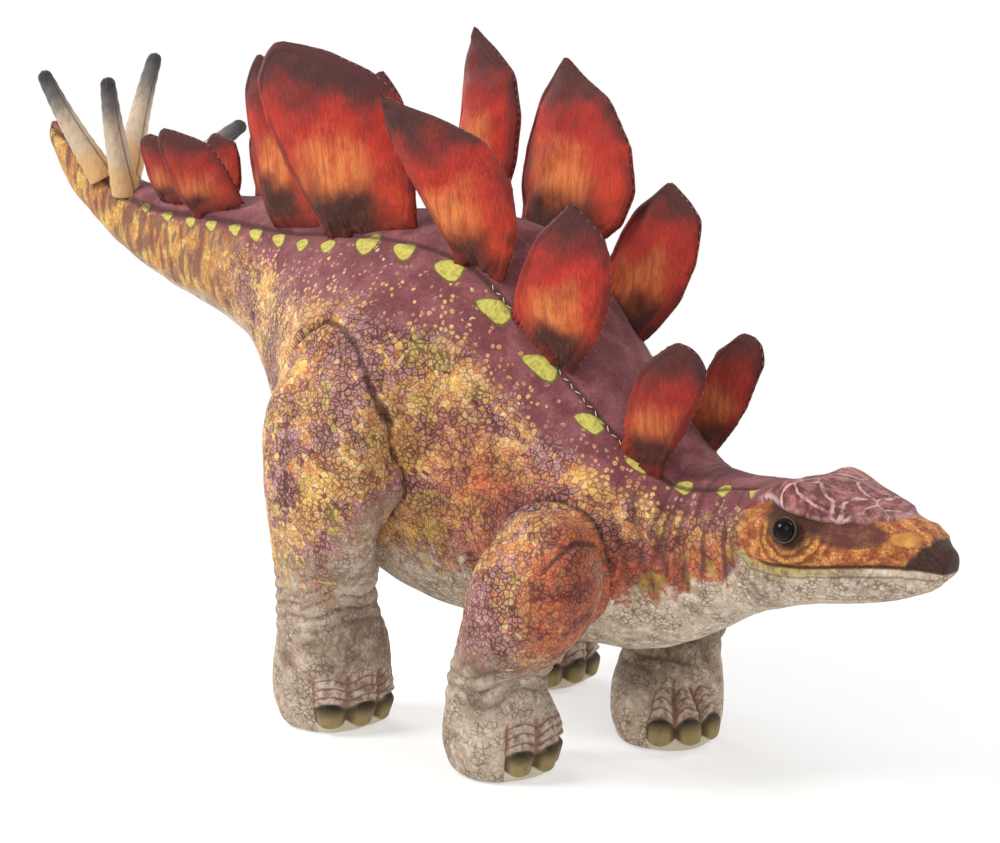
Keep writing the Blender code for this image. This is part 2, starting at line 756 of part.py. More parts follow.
# ---------------------------------------------------------------- the whole toy
def build():
    torso = joint_empty("torso", (0.0, 0.0, 0.1))
    neck = joint_empty("neck", (NECK_TURN["x"], 0.0, NECK_TURN["z"]), torso)
    head = joint_empty("head", (HEAD_NOD["x"], 0.0, HEAD_NOD["z"]), neck)
    tail = joint_empty("tail", (TAIL_SWING["x"], 0.0, TAIL_SWING["z"]), torso)
    tail_tip = joint_empty("tail_tip", (TIP_BEND["x"], 0.0, TIP_BEND["z"]), tail)
    make_torso(torso)
    make_neck(neck)
    make_head(head)
    make_tail(tail)
    make_tail_tip(tail_tip)

    for label in FOOT_STEP:
        side = 1 if label.endswith("left") else -1
        hip = SHOULDER if label.startswith("front") else HIP
        sections = FRONT_LEG if label.startswith("front") else HIND_LEG
        y = side * max(section[4] for section in sections)
        make_leg(label, joint_empty("leg_" + label, (hip["x"], y, hip["z"]), torso))

    carriers = [neck, torso, torso, torso, torso, tail, tail]
    for side_name, side in (("right", -1), ("left", 1)):
        for number, row in enumerate(PLATES[side_name]):
            name = f"plate_{side_name}_{number + 1}"
            pivot = plate_pivot(row, side, PLATE_TURN[number])
            holder = joint_empty(name, pivot, carriers[number])
            make_plate(name, number, holder, row, side)

    for label, (base_x, (tip_x, tip_y, tip_z)) in SPIKES.items():
        side = 1 if label.endswith("left") else -1
        base = spike_base(base_x, side)
        tip = Vector((tip_x, side * tip_y, tip_z))
        name = "tail_spike_" + label
        make_spike(name, joint_empty(name, base, tail_tip), base, tip)


build()
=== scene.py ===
"""The looks of a stegosaurus soft toy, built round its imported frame.

The sewn covers of the frame are sampled by rays and remade as one fine fabric skin, which is then
cut into pieces that follow the frame's bodies. The plates, spikes and eyes are remade from their
own CAD nodes. Units are metres, +X is towards the nose, and "right" is the -Y side.
"""

import json
import math

import bmesh
import bpy
import numpy as np
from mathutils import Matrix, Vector
from mathutils.bvhtree import BVHTree


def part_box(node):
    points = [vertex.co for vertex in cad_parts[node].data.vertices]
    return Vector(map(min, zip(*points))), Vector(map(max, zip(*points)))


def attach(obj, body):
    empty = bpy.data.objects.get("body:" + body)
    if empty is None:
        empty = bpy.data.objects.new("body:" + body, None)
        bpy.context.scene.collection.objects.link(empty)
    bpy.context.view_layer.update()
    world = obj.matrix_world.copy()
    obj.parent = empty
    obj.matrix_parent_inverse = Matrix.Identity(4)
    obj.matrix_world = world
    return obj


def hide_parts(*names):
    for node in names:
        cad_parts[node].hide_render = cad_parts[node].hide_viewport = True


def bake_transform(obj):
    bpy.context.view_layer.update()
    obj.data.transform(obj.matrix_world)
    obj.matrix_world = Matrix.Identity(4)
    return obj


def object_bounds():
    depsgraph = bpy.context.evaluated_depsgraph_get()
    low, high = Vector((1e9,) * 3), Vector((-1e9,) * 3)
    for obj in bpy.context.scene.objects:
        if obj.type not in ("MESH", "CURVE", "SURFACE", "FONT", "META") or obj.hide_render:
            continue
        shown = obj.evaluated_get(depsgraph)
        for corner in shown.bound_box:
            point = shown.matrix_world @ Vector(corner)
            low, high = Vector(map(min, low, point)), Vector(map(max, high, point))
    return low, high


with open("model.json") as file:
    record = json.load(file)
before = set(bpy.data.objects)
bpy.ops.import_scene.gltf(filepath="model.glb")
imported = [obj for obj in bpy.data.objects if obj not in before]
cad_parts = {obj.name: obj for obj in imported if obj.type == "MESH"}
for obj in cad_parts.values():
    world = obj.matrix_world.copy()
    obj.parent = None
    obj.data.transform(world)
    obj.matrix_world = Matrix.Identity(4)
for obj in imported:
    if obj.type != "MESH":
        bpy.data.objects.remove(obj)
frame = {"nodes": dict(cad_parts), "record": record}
CAD_LOW, CAD_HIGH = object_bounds()
BODIES = frame["record"]["behaviour"]["bodies"]
LEGS = ("front_right", "front_left", "hind_right", "hind_left")
TRUNK_BODIES = ("torso", "neck", "head", "tail", "tail_tip")
TRUNK_COVERS = [
    node
    for body in TRUNK_BODIES
    for node in BODIES[body]
    if "stuffing" not in node and not node.startswith("eye")
]

# ---------------------------------------------------------------- measures
STATIONS = 250  # sections along the trunk
SPOKES = 120  # rays round a section
LEG_STEP = 0.0015  # height between two sections of a leg
CENTRE_ROUNDS = 60  # rounds of smoothing of a leg's line of centres
REACH = 0.25  # how far outside a ray starts
VOXEL = 0.0013  # grain of the joined skin
FOOT_ROUNDING = 0.0085  # radius of the foot's lower rim
INNER_REACH = {"front": 0.0125, "hind": 0.0085}  # a leg's inner face pressed into the trunk
TOP_TAPER = {"front": 0.0015, "hind": 0.0060}  # a leg's outer face drawn in at its top
JOIN_WIDTH = 0.0055  # how far the smoothing reaches from where a leg meets the trunk
HIP_WIDTH = 0.0130  # the same over a hip, where the flank runs smoothly on
SHOULDER_WIDTH = 0.0075  # and over a shoulder
FINE_HEAD_X = 0.132  # the skin is twice as fine in front of this
FINE_FOOT_Z = 0.030  # and below this
FAR = 0.05  # distance given to vertices that no sewn line is near

# Where the flanks fill out towards the legs: x, z, reach along x, reach along z, outward
FLANK_SWELLS = ((0.002, 0.126, 0.034, 0.028, 0.0150), (0.084, 0.074, 0.022, 0.019, 0.0110))

# Row of printed spots: x, half length, and the height of the row as a share of the section
SPOT_ROW = (
    (-0.157, 0.0022), (-0.148, 0.0024), (-0.136, 0.0027), (-0.122, 0.0031), (-0.107, 0.0033),
    (-0.094, 0.0034), (-0.080, 0.0036), (-0.067, 0.0038), (-0.053, 0.0036), (-0.038, 0.0034),
    (-0.023, 0.0036), (-0.006, 0.0052), (0.011, 0.0046), (0.031, 0.0054), (0.049, 0.0052),
    (0.066, 0.0052), (0.083, 0.0042), (0.099, 0.0036), (0.113, 0.0030), (0.127, 0.0027),
    (0.139, 0.0025),
)
ROW_SHARE = (
    (-0.190, 0.95), (-0.157, 0.90), (-0.136, 0.80), (-0.100, 0.79), (-0.070, 0.83), (-0.050, 0.87),
    (0.000, 0.93), (0.050, 0.885), (0.066, 0.868), (0.083, 0.87), (0.099, 0.90), (0.114, 0.92),
    (0.140, 0.93), (0.201, 0.99),
)
# Upper edge of the pale underside, as a share of the section
PALE_SHARE = (
    (-0.200, 0.10), (-0.150, 0.16), (-0.090, 0.18), (-0.060, 0.24), (-0.040, 0.24), (0.000, 0.19),
    (0.030, 0.17), (0.060, 0.20), (0.085, 0.24), (0.110, 0.30), (0.130, 0.34), (0.142, 0.30),
    (0.160, 0.30), (0.185, 0.36), (0.201, 0.20),
)

# Sewn and folded lines on the flanks, as x and z
HIP_ARC = (
    (-0.0250, 0.1120), (-0.0190, 0.1218), (-0.0145, 0.1277), (-0.0085, 0.1331), (-0.0015, 0.1368),
    (0.0063, 0.1353), (0.0138, 0.1307), (0.0200, 0.1230), (0.0242, 0.1150), (0.0264, 0.1075),
)
ARM_DART = ((0.1015, 0.0840), (0.1000, 0.0785), (0.0970, 0.0725))
BROW = (
    (0.1200, 0.0830), (0.1360, 0.0890), (0.1430, 0.0935), (0.1500, 0.0942), (0.1588, 0.0934),
    (0.1673, 0.0924), (0.1731, 0.0922), (0.1816, 0.0930), (0.1901, 0.0940), (0.2010, 0.0965),
)
MOUTH = (
    (0.1420, 0.0815), (0.1446, 0.0793), (0.1520, 0.0782), (0.1630, 0.0786), (0.1775, 0.0804),
    (0.1857, 0.0812), (0.1948, 0.0812), (0.2010, 0.0800),
)
NOSTRIL = (0.1905, 0.0885)

# Sewn lines: depth and width
HIP_SEAM = (0.0014, 0.0010)
ARM_SEAM = (0.0019, 0.0012)
DART_SEAM = (0.0006, 0.0009)
GUSSET_SEAM = (0.0006, 0.0008)
MOUTH_LINE = (0.0007, 0.0008)

# Wrinkles: distance from one to the next, and height
NECK_WAVE, NECK_HEIGHT = 0.0060, 0.00090
TAIL_WAVE, TAIL_HEIGHT = 0.0075, 0.00022
ANKLE_WAVE, ANKLE_HEIGHT = 0.0047, 0.00072
KNUCKLE_WAVE, KNUCKLE_HEIGHT = 0.0029, 0.00026
LID_WAVE, LID_HEIGHT = 0.0026, 0.00030

FOOT_TURN = {"front_right": 12.0, "front_left": -24.0, "hind_right": -8.0, "hind_left": -4.0}  # degrees
TOE_SPACING = math.radians(37.0)
TOE_TOP = 0.0205
CLAW_TOP = 0.0112
CAMERA = {
    "azimuth": 43.0, "elevation": 10.5, "distance": 0.9, "target": (0.026, 0.0, 0.101), "lens": 100.26,
}


# ---------------------------------------------------------------- small tools
def smoothstep(value, low, high):
    share = np.clip((value - low) / (high - low), 0.0, 1.0)
    return share * share * (3.0 - 2.0 * share)


def curve(table, x):
    """Value of a table of (x, value) pairs at x."""
    keys, values = np.array(table).T
    return np.interp(x, keys, values)


def bump(value, width):
    return np.exp(-((value / width) ** 2))


def ripple(points, wavelength, seed):
    """Smooth irregular waves between about -1 and 1, the same on each run."""
    chance = np.random.default_rng(seed)
    total = np.zeros(len(points))
    for _ in range(7):
        way = chance.normal(size=3)
        way *= 2 * math.pi / (wavelength * chance.uniform(0.7, 1.5) * np.linalg.norm(way))
        total += np.sin(points @ way + chance.uniform(0, 2 * math.pi))
    return total / 3.0


def line_distance(points, line):
    """Distance of 2-D points from an open line, and the share of the line at the nearest place."""
    line = np.array(line, float)
    lengths = np.linalg.norm(np.diff(line, axis=0), axis=1)
    starts = np.concatenate([[0.0], np.cumsum(lengths)])
    best = np.full(len(points), 1e9)
    share = np.zeros(len(points))
    for a, b, start, length in zip(line[:-1], line[1:], starts, lengths):
        along = np.clip(((points - a) @ (b - a)) / length**2, 0.0, 1.0)
        distance = np.linalg.norm(points - (a + along[:, None] * (b - a)), axis=1)
        nearer = distance < best
        best[nearer] = distance[nearer]
        share[nearer] = (start + along[nearer] * length) / starts[-1]
    return best, share


def read_all(items, field, width, kind=np.float32):
    """One field of all of a mesh's items, in rows of width numbers."""
    values = np.empty(len(items) * width, kind)
    items.foreach_get(field, values)
    return values.reshape(-1, width)


def mesh_points(mesh):
    return read_all(mesh.vertices, "co", 3).astype(float)


def mesh_normals(mesh):
    return read_all(mesh.vertex_normals, "vector", 3).astype(float)


def mesh_edges(mesh):
    return read_all(mesh.edges, "vertices", 2, np.int32)


def mesh_tree(mesh):
    return BVHTree.FromPolygons(
        [Vector(p) for p in mesh_points(mesh)], [list(face.vertices) for face in mesh.polygons]
    )


def main_axes(points):
    """The middle of points and their three directions, the longest first."""
    centre = points.mean(axis=0)
    return centre, np.linalg.svd(points - centre, full_matrices=False)[2]


def along_axis(points, centre, way):
    """How far points lie along an axis, and how far they lie from it."""
    along = (points - centre) @ way
    return along, np.linalg.norm(points - centre - along[:, None] * way, axis=1)


def crossways(way, guide):
    """Two directions square to way and to each other."""
    side = np.cross(way, guide)
    side /= np.linalg.norm(side)
    return side, np.cross(way, side)


def softened(before, here, after):
    return (before + 2 * here + after) / 4


def waves(value, length):
    """Phase of waves of a length along a value."""
    return value / length * 2 * math.pi


def move_points(mesh, points):
    mesh.vertices.foreach_set("co", points.astype(np.float32).ravel())
    mesh.update()


def write_values(mesh, name, values):
    """Stores one number or one vector for each vertex, for the materials to read."""
    values = np.asarray(values, np.float32)
    kind, field = ("FLOAT", "value") if values.ndim == 1 else ("FLOAT_VECTOR", "vector")
    layer = mesh.attributes.get(name) or mesh.attributes.new(name, kind, "POINT")
    layer.data.foreach_set(field, values.ravel())


def write_all(mesh, fields):
    for name, values in fields.items():
        write_values(mesh, name, values)


def read_values(mesh, name):
    return read_all(mesh.attributes[name].data, "value", 1).ravel().astype(float)


def shade_smooth(mesh):
    mesh.polygons.foreach_set("use_smooth", np.ones(len(mesh.polygons), bool))


def relaxed(points, edges, weight, rounds):
    """Points drawn to the mean of their neighbours, each by its own weight."""
    ends = np.concatenate([edges[:, 0], edges[:, 1]])
    others = np.concatenate([edges[:, 1], edges[:, 0]])
    count = np.maximum(np.bincount(ends, minlength=len(points)), 1)
    points = points.copy()
    for _ in range(rounds):
        mean = np.stack(
            [np.bincount(ends, points[others, axis], len(points)) / count for axis in range(3)], axis=1
        )
        points += (mean - points) * weight[:, None]
    return points


def new_object(name, points, faces):
    mesh = bpy.data.meshes.new(name)
    mesh.from_pydata([tuple(p) for p in points], [], faces)
    mesh.update()
    obj = bpy.data.objects.new(name, mesh)
    bpy.context.scene.collection.objects.link(obj)
    return obj


def evaluated_mesh(obj):
    """The object's mesh with its modifiers applied."""
    graph = bpy.context.evaluated_depsgraph_get()
    return bpy.data.meshes.new_from_object(obj.evaluated_get(graph))


def remeshed(obj, voxel):
    """A new mesh of even quads over everything that the object's closed parts hold."""
    modifier = obj.modifiers.new("even_grain", "REMESH")
    modifier.mode = "VOXEL"
    modifier.voxel_size = voxel
    mesh = evaluated_mesh(obj)
    obj.modifiers.remove(modifier)
    return mesh


def discard(obj):
    bpy.data.objects.remove(obj, do_unlink=True)


# ---------------------------------------------------------------- sampling the frame
def gathered(meshes):
    """The points and the faces of several meshes as one."""
    points, faces = [], []
    for mesh in meshes:
        start = len(points)
        points += [vertex.co.copy() for vertex in mesh.vertices]
        faces += [[start + i for i in face.vertices] for face in mesh.polygons]
    return points, faces


def tree_of(names):
    """A ray-cast tree over the faces of several CAD nodes."""
    return BVHTree.FromPolygons(*gathered(frame["nodes"][name].data for name in names))


def filled(values, period=None):
    """A line of numbers with its missing ones drawn straight between their neighbours."""
    steps = np.arange(len(values))
    known = ~np.isnan(values)
    return np.interp(steps, steps[known], values[known], period=period)


def outer_radii(tree, centre, directions):
    """Distance from a centre to the outermost surface in each direction, with gaps bridged."""
    found = np.full(len(directions), np.nan)
    for i, direction in enumerate(directions):
        hit = tree.ray_cast(centre + direction * REACH, -direction, REACH)[0]
        if hit is not None:
            found[i] = (hit - centre).length
    return found if np.isnan(found).all() else filled(found, len(found))


def along_rows(grid, reach):
    rows = np.arange(len(grid))[None, :] + np.arange(-reach, reach + 1)[:, None]
    return grid[np.clip(rows, 0, len(grid) - 1)]


def around_rows(grid, reach):
    return np.stack([np.roll(grid, shift, axis=1) for shift in range(-reach, reach + 1)])


def calmed(grid, rounds):
    """A grid of radii without the narrow slits between panels, then smoothed both ways."""
    grid = np.median(along_rows(grid, 2), axis=0)
    grid = np.median(around_rows(grid, 1), axis=0)
    for _ in range(rounds):
        grid = softened(*along_rows(grid, 1))
        grid = softened(*around_rows(grid, 1))
    return grid


def ring_faces(rings, spokes):
    """Quads of a tube of rings, and the fans to the two end points that follow them."""
    faces = []
    for i in range(rings - 1):
        for j in range(spokes):
            k = (j + 1) % spokes
            faces.append((i * spokes + j, i * spokes + k, (i + 1) * spokes + k, (i + 1) * spokes + j))
    first, last = rings * spokes, rings * spokes + 1
    for j in range(spokes):
        k = (j + 1) % spokes
        faces.append((first, k, j))
        faces.append((last, (rings - 1) * spokes + j, (rings - 1) * spokes + k))
    return faces


class Trunk:
    """The trunk's outer surface, as radii round a line of centres, with its top and bottom lines."""

    def __init__(self):
        tree = tree_of(TRUNK_COVERS)
        ease = 0.0008
        self.x = np.linspace(CAD_LOW.x + ease, CAD_HIGH.x - ease, STATIONS)
        top = np.full(STATIONS, np.nan)
        bottom = np.full(STATIONS, np.nan)
        for i, x in enumerate(self.x):
            high = tree.ray_cast(Vector((x, 0, 1)), Vector((0, 0, -1)))[0]
            low = tree.ray_cast(Vector((x, 0, -1)), Vector((0, 0, 1)))[0]
            if high is not None and low is not None and high.z - low.z > 0.003:
                top[i], bottom[i] = high.z, low.z
        self.top, self.bottom = filled(top), filled(bottom)
        centre = (self.top + self.bottom) / 2
        angles = np.linspace(0, 2 * math.pi, SPOKES, endpoint=False)
        directions = [Vector((0, math.sin(a), math.cos(a))) for a in angles]
        radii = np.array(
            [outer_radii(tree, Vector((x, 0, z)), directions) for x, z in zip(self.x, centre)]
        )
        radii = np.apply_along_axis(filled, 0, radii)
        self.set_points(calmed(radii, 5), angles, centre)

    def set_points(self, radii, angles, centre):
        """Ring points, with the flanks filled out where the legs are sewn on."""
        self.points = np.stack(
            [
                np.repeat(self.x[:, None], SPOKES, axis=1),
                radii * np.sin(angles),
                centre[:, None] + radii * np.cos(angles),
            ],
            axis=2,
        )
        x, y, z = (self.points[:, :, axis] for axis in range(3))
        for swell_x, swell_z, reach_x, reach_z, out in FLANK_SWELLS:
            amount = out * bump(x - swell_x, reach_x) * bump(z - swell_z, reach_z)
            y += np.sign(y) * amount * smoothstep(np.abs(y), 0.004, 0.026)

    def limits(self, x):
        """The trunk's bottom and top at x."""
        return np.interp(x, self.x, self.bottom), np.interp(x, self.x, self.top)

    def share(self, points):
        """Height in the section, from 0 at the bottom to 1 at the top."""
        bottom, top = self.limits(points[:, 0])
        return (points[:, 2] - bottom) / (top - bottom)

    def row_height(self, x):
        bottom, top = self.limits(x)
        return bottom + curve(ROW_SHARE, x) * (top - bottom)

    def build(self):
        ends = [
            self.points[0].mean(axis=0) - (0.0006, 0, 0),
            self.points[-1].mean(axis=0) + (0.0006, 0, 0),
        ]
        points = np.concatenate([self.points.reshape(-1, 3), ends])
        return new_object("trunk_form", points, ring_faces(STATIONS, SPOKES))


class Leg:
    """A leg's outer surface, sampled from its cover, with a rounded foot."""

    def __init__(self, name):
        self.name = name
        self.kind = name.split("_")[0]
        self.side = 1 if name.endswith("left") else -1
        cover = f"leg_{name}_cover"
        tree = tree_of([cover, f"leg_{name}_sole"])
        low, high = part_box(cover)
        self.top = high.z
        sole_low, sole_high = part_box(f"leg_{name}_sole")
        self.foot = (sole_low + sole_high) / 2
        self.z = np.arange(0.0026, high.z - 0.0004, LEG_STEP)
        angles = np.linspace(0, 2 * math.pi, SPOKES // 2, endpoint=False)
        directions = [Vector((math.cos(a), math.sin(a), 0)) for a in angles]
        centres = np.array([self.centre_at(tree, (low + high) / 2, z) for z in self.z])
        for _ in range(CENTRE_ROUNDS):
            centres = softened(*along_rows(centres, 1))
        self.centres = centres
        radii = np.array(
            [
                outer_radii(tree, Vector((x, y, z)), directions)
                for (x, y), z in zip(self.centres, self.z)
            ]
        )
        self.build_points(calmed(np.apply_along_axis(filled, 0, radii), 3), angles)

    def centre_at(self, tree, start, z):
        """Middle of the leg at a height, found by rays from both sides, first along x, then along y."""
        place = Vector((start.x, start.y, z))
        for _ in range(2):
            for axis in (0, 1):
                way = Vector([1.0 if i == axis else 0.0 for i in range(3)])
                ends = [tree.ray_cast(place + way * s * REACH, -way * s, REACH)[0] for s in (1, -1)]
                if None not in ends:
                    place[axis] = (ends[0][axis] + ends[1][axis]) / 2
        return place.x, place.y

    def build_points(self, radii, angles):
        """Rings up the leg, started by rings that round the foot's rim and ended by a domed top."""
        rings = []
        for rise in np.linspace(0.0, 1.0, 6)[:-1]:
            inset = FOOT_ROUNDING * (1 - math.sin(rise * math.pi / 2)) * 0.55
            z = FOOT_ROUNDING * (1 - math.cos(rise * math.pi / 2))
            rings.append((z, self.centres[0], radii[0] - inset))
        kept = self.z > FOOT_ROUNDING
        rings += list(zip(self.z[kept], self.centres[kept], radii[kept]))
        last_z, last_centre, last_radii = rings[-1]
        for rise in (0.35, 0.7, 0.9):
            rings.append((last_z + 0.006 * rise, last_centre, last_radii * math.sqrt(1 - rise**2)))
        points = np.array(
            [
                [(c[0] + r * math.cos(a), c[1] + r * math.sin(a), z) for r, a in zip(ring, angles)]
                for z, c, ring in rings
            ]
        )
        self.points = self.pressed(points, np.array([c[1] for _, c, _ in rings])[:, None])

    def pressed(self, points, centre_y):
        """The leg's inner face pressed into the trunk, and its outer face drawn in at the top."""
        half = np.abs(points[:, :, 1] - centre_y).max(axis=1)[:, None]
        inward = np.clip(-self.side * (points[:, :, 1] - centre_y) / half, 0.0, 1.0)
        start = 0.050 if self.kind == "hind" else 0.040
        press = smoothstep(points[:, :, 2], start, start + 0.018)
        points[:, :, 1] -= self.side * INNER_REACH[self.kind] * press * np.sqrt(inward)
        near_top = smoothstep(points[:, :, 2], self.top - 0.034, self.top + 0.004)
        outward = np.clip(self.side * (points[:, :, 1] - centre_y) / half, 0.0, 1.0)
        points[:, :, 1] -= self.side * TOP_TAPER[self.kind] * near_top * outward
        return points

    def build(self):
        rings, spokes = self.points.shape[:2]
        bottom = self.points[0].mean(axis=0)
        bottom[2] = 0.0
        top = self.points[-1].mean(axis=0) + (0, 0, 0.0006)
        points = np.concatenate([self.points.reshape(-1, 3), [bottom, top]])
        return new_object(f"leg_form_{self.name}", points, ring_faces(rings, spokes))


# ---------------------------------------------------------------- the joined skin
def nearest_distances(tree, points, low, high):
    """Distance from each point to a form, for the points near its box, and far otherwise."""
    near = np.all((points > np.array(low) - 0.02) & (points < np.array(high) + 0.02), axis=1)
    distances = np.full(len(points), 0.1)
    for i in np.flatnonzero(near):
        distances[i] = tree.find_nearest(points[i])[3]
    return distances


def form_distance(form, points):
    own = mesh_points(form.data)
    return nearest_distances(mesh_tree(form.data), points, own.min(axis=0), own.max(axis=0))


def refine(mesh):
    """Halves the grain of the head and the feet, where the small features are."""
    work = bmesh.new()
    work.from_mesh(mesh)
    fine = [v.co.x > FINE_HEAD_X or v.co.z < FINE_FOOT_Z for v in work.verts]
    edges = [e for e in work.edges if fine[e.verts[0].index] and fine[e.verts[1].index]]
    bmesh.ops.subdivide_edges(work, edges=edges, cuts=1, use_grid_fill=True, smooth=0.6)
    work.to_mesh(mesh)
    work.free()


def make_skin(trunk, legs):
    """One fine mesh of trunk and legs; its vertices know how near they are to a leg."""
    trunk_form = trunk.build()
    leg_forms = [leg.build() for leg in legs]
    forms = [trunk_form] + leg_forms
    joined = new_object("skin_form", *gathered(form.data for form in forms))
    mesh = remeshed(joined, VOXEL)
    discard(joined)
    points, edges = mesh_points(mesh), mesh_edges(mesh)
    from_trunk = form_distance(trunk_form, points)
    from_legs = np.stack([form_distance(form, points) for form in leg_forms])
    from_leg = from_legs.min(axis=0)
    from_join = np.maximum(from_trunk, from_leg)
    tops = np.array([leg.top for leg in legs])[from_legs.argmin(axis=0)]
    high = smoothstep(points[:, 2], tops - 0.045, tops - 0.020) * (np.abs(points[:, 1]) > 0.020)
    width = np.where(points[:, 0] < 0.045, HIP_WIDTH, SHOULDER_WIDTH)
    points = relaxed(points, edges, 0.45 * np.ones(len(points)), 3)
    points = relaxed(points, edges, 0.6 * bump(from_join, JOIN_WIDTH), 26)
    points = relaxed(points, edges, 0.8 * high * bump(from_join, width), 150)
    move_points(mesh, points)
    write_values(mesh, "leg", smoothstep(from_trunk - from_leg, -0.0012, 0.0012))
    write_values(mesh, "join", np.abs(from_trunk - from_leg))
    write_values(mesh, "which_leg", from_legs.argmin(axis=0).astype(float))
    refine(mesh)
    for form in forms:
        discard(form)
    return mesh


# ---------------------------------------------------------------- relief of the skin
def side_plane(points):
    return points[:, (0, 2)]


def gusset_curve():
    """Half width of the gusset along the back: a smooth curve through the feet of the plates."""
    feet = [(-0.190, 0.0030), (0.128, 0.0085), (0.150, 0.0080)]
    for number in range(1, 8):
        points = mesh_points(frame["nodes"][f"plate_right_{number}"].data)
        foot = points[points[:, 2] < points[:, 2].min() + 0.006].mean(axis=0)
        feet.append((foot[0], abs(foot[1])))
    return np.polynomial.Polynomial.fit(*np.array(feet).T, 5)


GUSSET = gusset_curve()


def gusset_line(x):
    return GUSSET(np.clip(x, -0.190, 0.160))


class Fields:
    """What is known of each skin vertex: where it lies in the trunk, on a leg and from each line."""

    def __init__(self, mesh, trunk, legs):
        self.points = mesh_points(mesh)
        self.normals = mesh_normals(mesh)
        x, y, z = self.points.T
        self.x, self.y, self.z = x, y, z
        self.side = np.where(y < 0, -1.0, 1.0)
        self.leg = read_values(mesh, "leg")
        self.which = np.round(read_values(mesh, "which_leg")).astype(int)
        self.front = np.isin(self.which, (0, 1)).astype(float)
        self.share = trunk.share(self.points)
        self.below = curve(ROW_SHARE, x) - self.share
        self.hip = line_distance(side_plane(self.points), HIP_ARC)
        self.dart = line_distance(side_plane(self.points), ARM_DART)
        self.outer = smoothstep(np.abs(y), 0.034, 0.042)
        self.on_hip = smoothstep(np.abs(y), 0.030, 0.037) * smoothstep(self.hip[1], 0.0, 0.25)
        thigh_front = (self.front == 0) & (x > 0.004) & (z < 0.112)
        sewn = ((self.front > 0) & (np.abs(y) > 0.030)) | (thigh_front & (self.outer > 0.3))
        self.join = np.where(sewn, read_values(mesh, "join"), FAR)
        on_top = smoothstep(self.share, 0.55, 0.75) * (1 - self.leg)
        self.gusset = np.where(on_top > 0.5, np.abs(np.abs(y) - gusset_line(x)), FAR)
        self.brow = z - curve(BROW, x)
        self.mouth = z - curve(MOUTH, x)
        eye_low, eye_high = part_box("eye_right")
        self.eye_centre = (eye_low + eye_high) / 2
        self.eye_radius = (eye_high.z - eye_low.z) / 2
        across = np.abs(np.abs(y) - abs(self.eye_centre.y))
        self.eye = np.sqrt((x - self.eye_centre.x) ** 2 + (z - self.eye_centre.z) ** 2 + (0.5 * across) ** 2)
        self.head = smoothstep(x, 0.136, 0.142)
        self.set_feet(legs)

    def set_feet(self, legs):
        """Angle round each foot in toes, and how surely a vertex is on the toes."""
        self.toe = np.zeros(len(self.x))
        self.on_toes = np.zeros(len(self.x))
        for i, leg in enumerate(legs):
            mine = (self.which == i) & (self.leg > 0.5)
            turn = math.radians(FOOT_TURN[leg.name])
            dx, dy = self.x - leg.foot.x, self.y - leg.foot.y
            angle = np.arctan2(dy, dx) - turn
            self.toe[mine] = (angle / TOE_SPACING)[mine]
            front = smoothstep(1.56 - np.abs(angle / TOE_SPACING), 0.0, 0.20)
            low = 1 - smoothstep(self.z, TOE_TOP - 0.003, TOE_TOP + 0.003)
            self.on_toes[mine] = (front * low)[mine]


def groove(distance, depth, width):
    """A sewn line: a narrow dip between two slightly raised shoulders."""
    return -depth * bump(distance, width) + 0.45 * depth * bump(distance - 2.4 * width, 1.3 * width)


def seam_relief(f):
    puckers = 1 + 0.25 * np.sin(f.hip[1] * 120)
    hip = groove(f.hip[0], *HIP_SEAM) * f.on_hip * puckers
    arm = groove(f.join, *ARM_SEAM)
    dart = groove(f.dart[0], *DART_SEAM) * f.outer * f.leg
    gusset = groove(f.gusset, *GUSSET_SEAM) * (1 - f.head)
    return hip + arm + dart + gusset


def neck_folds(f):
    """Phase of the neck's wrinkles, and where they are."""
    phase = waves(f.x + 0.22 * (f.z - 0.08), NECK_WAVE) + 1.6 * ripple(f.points, 0.018, 3)
    mask = bump(f.x - 0.111, 0.013) * smoothstep(f.share, 0.25, 0.45)
    return phase, mask * (1 - smoothstep(f.share, 0.80, 0.95))


def ankle_folds(f):
    """Phase of the wrinkles over the feet, and where they are."""
    phase = waves(f.z + 0.18 * f.x * f.side, ANKLE_WAVE) + 1.9 * ripple(f.points, 0.022, 5)
    fold_z, spread = np.where(f.front, 0.0335, 0.0450), np.where(f.front, 0.0085, 0.0125)
    return phase, bump(f.z - fold_z, spread) * smoothstep(ripple(f.points, 0.03, 8), -1.7, 0.0)


def fold_relief(f):
    """Wrinkles where the fabric bends: the neck, the ankles and elbows, and the root of the tail."""
    neck_phase, neck_mask = neck_folds(f)
    neck = NECK_HEIGHT * np.sin(neck_phase) * neck_mask * (1 - f.leg)
    tail_phase = waves(f.x - 0.2 * f.z, TAIL_WAVE) + 1.5 * ripple(f.points, 0.018, 3)
    tail_mask = bump(f.x + 0.062, 0.012) * bump(f.share - 0.45, 0.25)
    tail = TAIL_HEIGHT * np.sin(tail_phase) * tail_mask * (1 - f.leg)
    ankle_phase, ankle_mask = ankle_folds(f)
    ankle = ANKLE_HEIGHT * (2 * np.abs(np.sin(ankle_phase / 2)) ** 0.7 - 1.4) * ankle_mask * f.leg
    waist = -0.0032 * bump(f.z - np.where(f.front, 0.0300, 0.0400), np.where(f.front, 0.0080, 0.0110))
    waist *= np.clip(f.normals[:, 0], 0, 1) * f.leg
    return neck + tail + ankle + waist


def crease_shading(f):
    """How deep each vertex lies in a wrinkle of the neck or of an ankle, for the painted shade in the
    wrinkles.
    """
    neck_phase, neck_mask = neck_folds(f)
    ankle_phase, ankle_mask = ankle_folds(f)
    crease = bump(np.sin(ankle_phase / 2), 0.30) * ankle_mask * f.leg
    return crease + 0.8 * smoothstep(-np.sin(neck_phase), 0.3, 1.0) * neck_mask * (1 - f.leg)


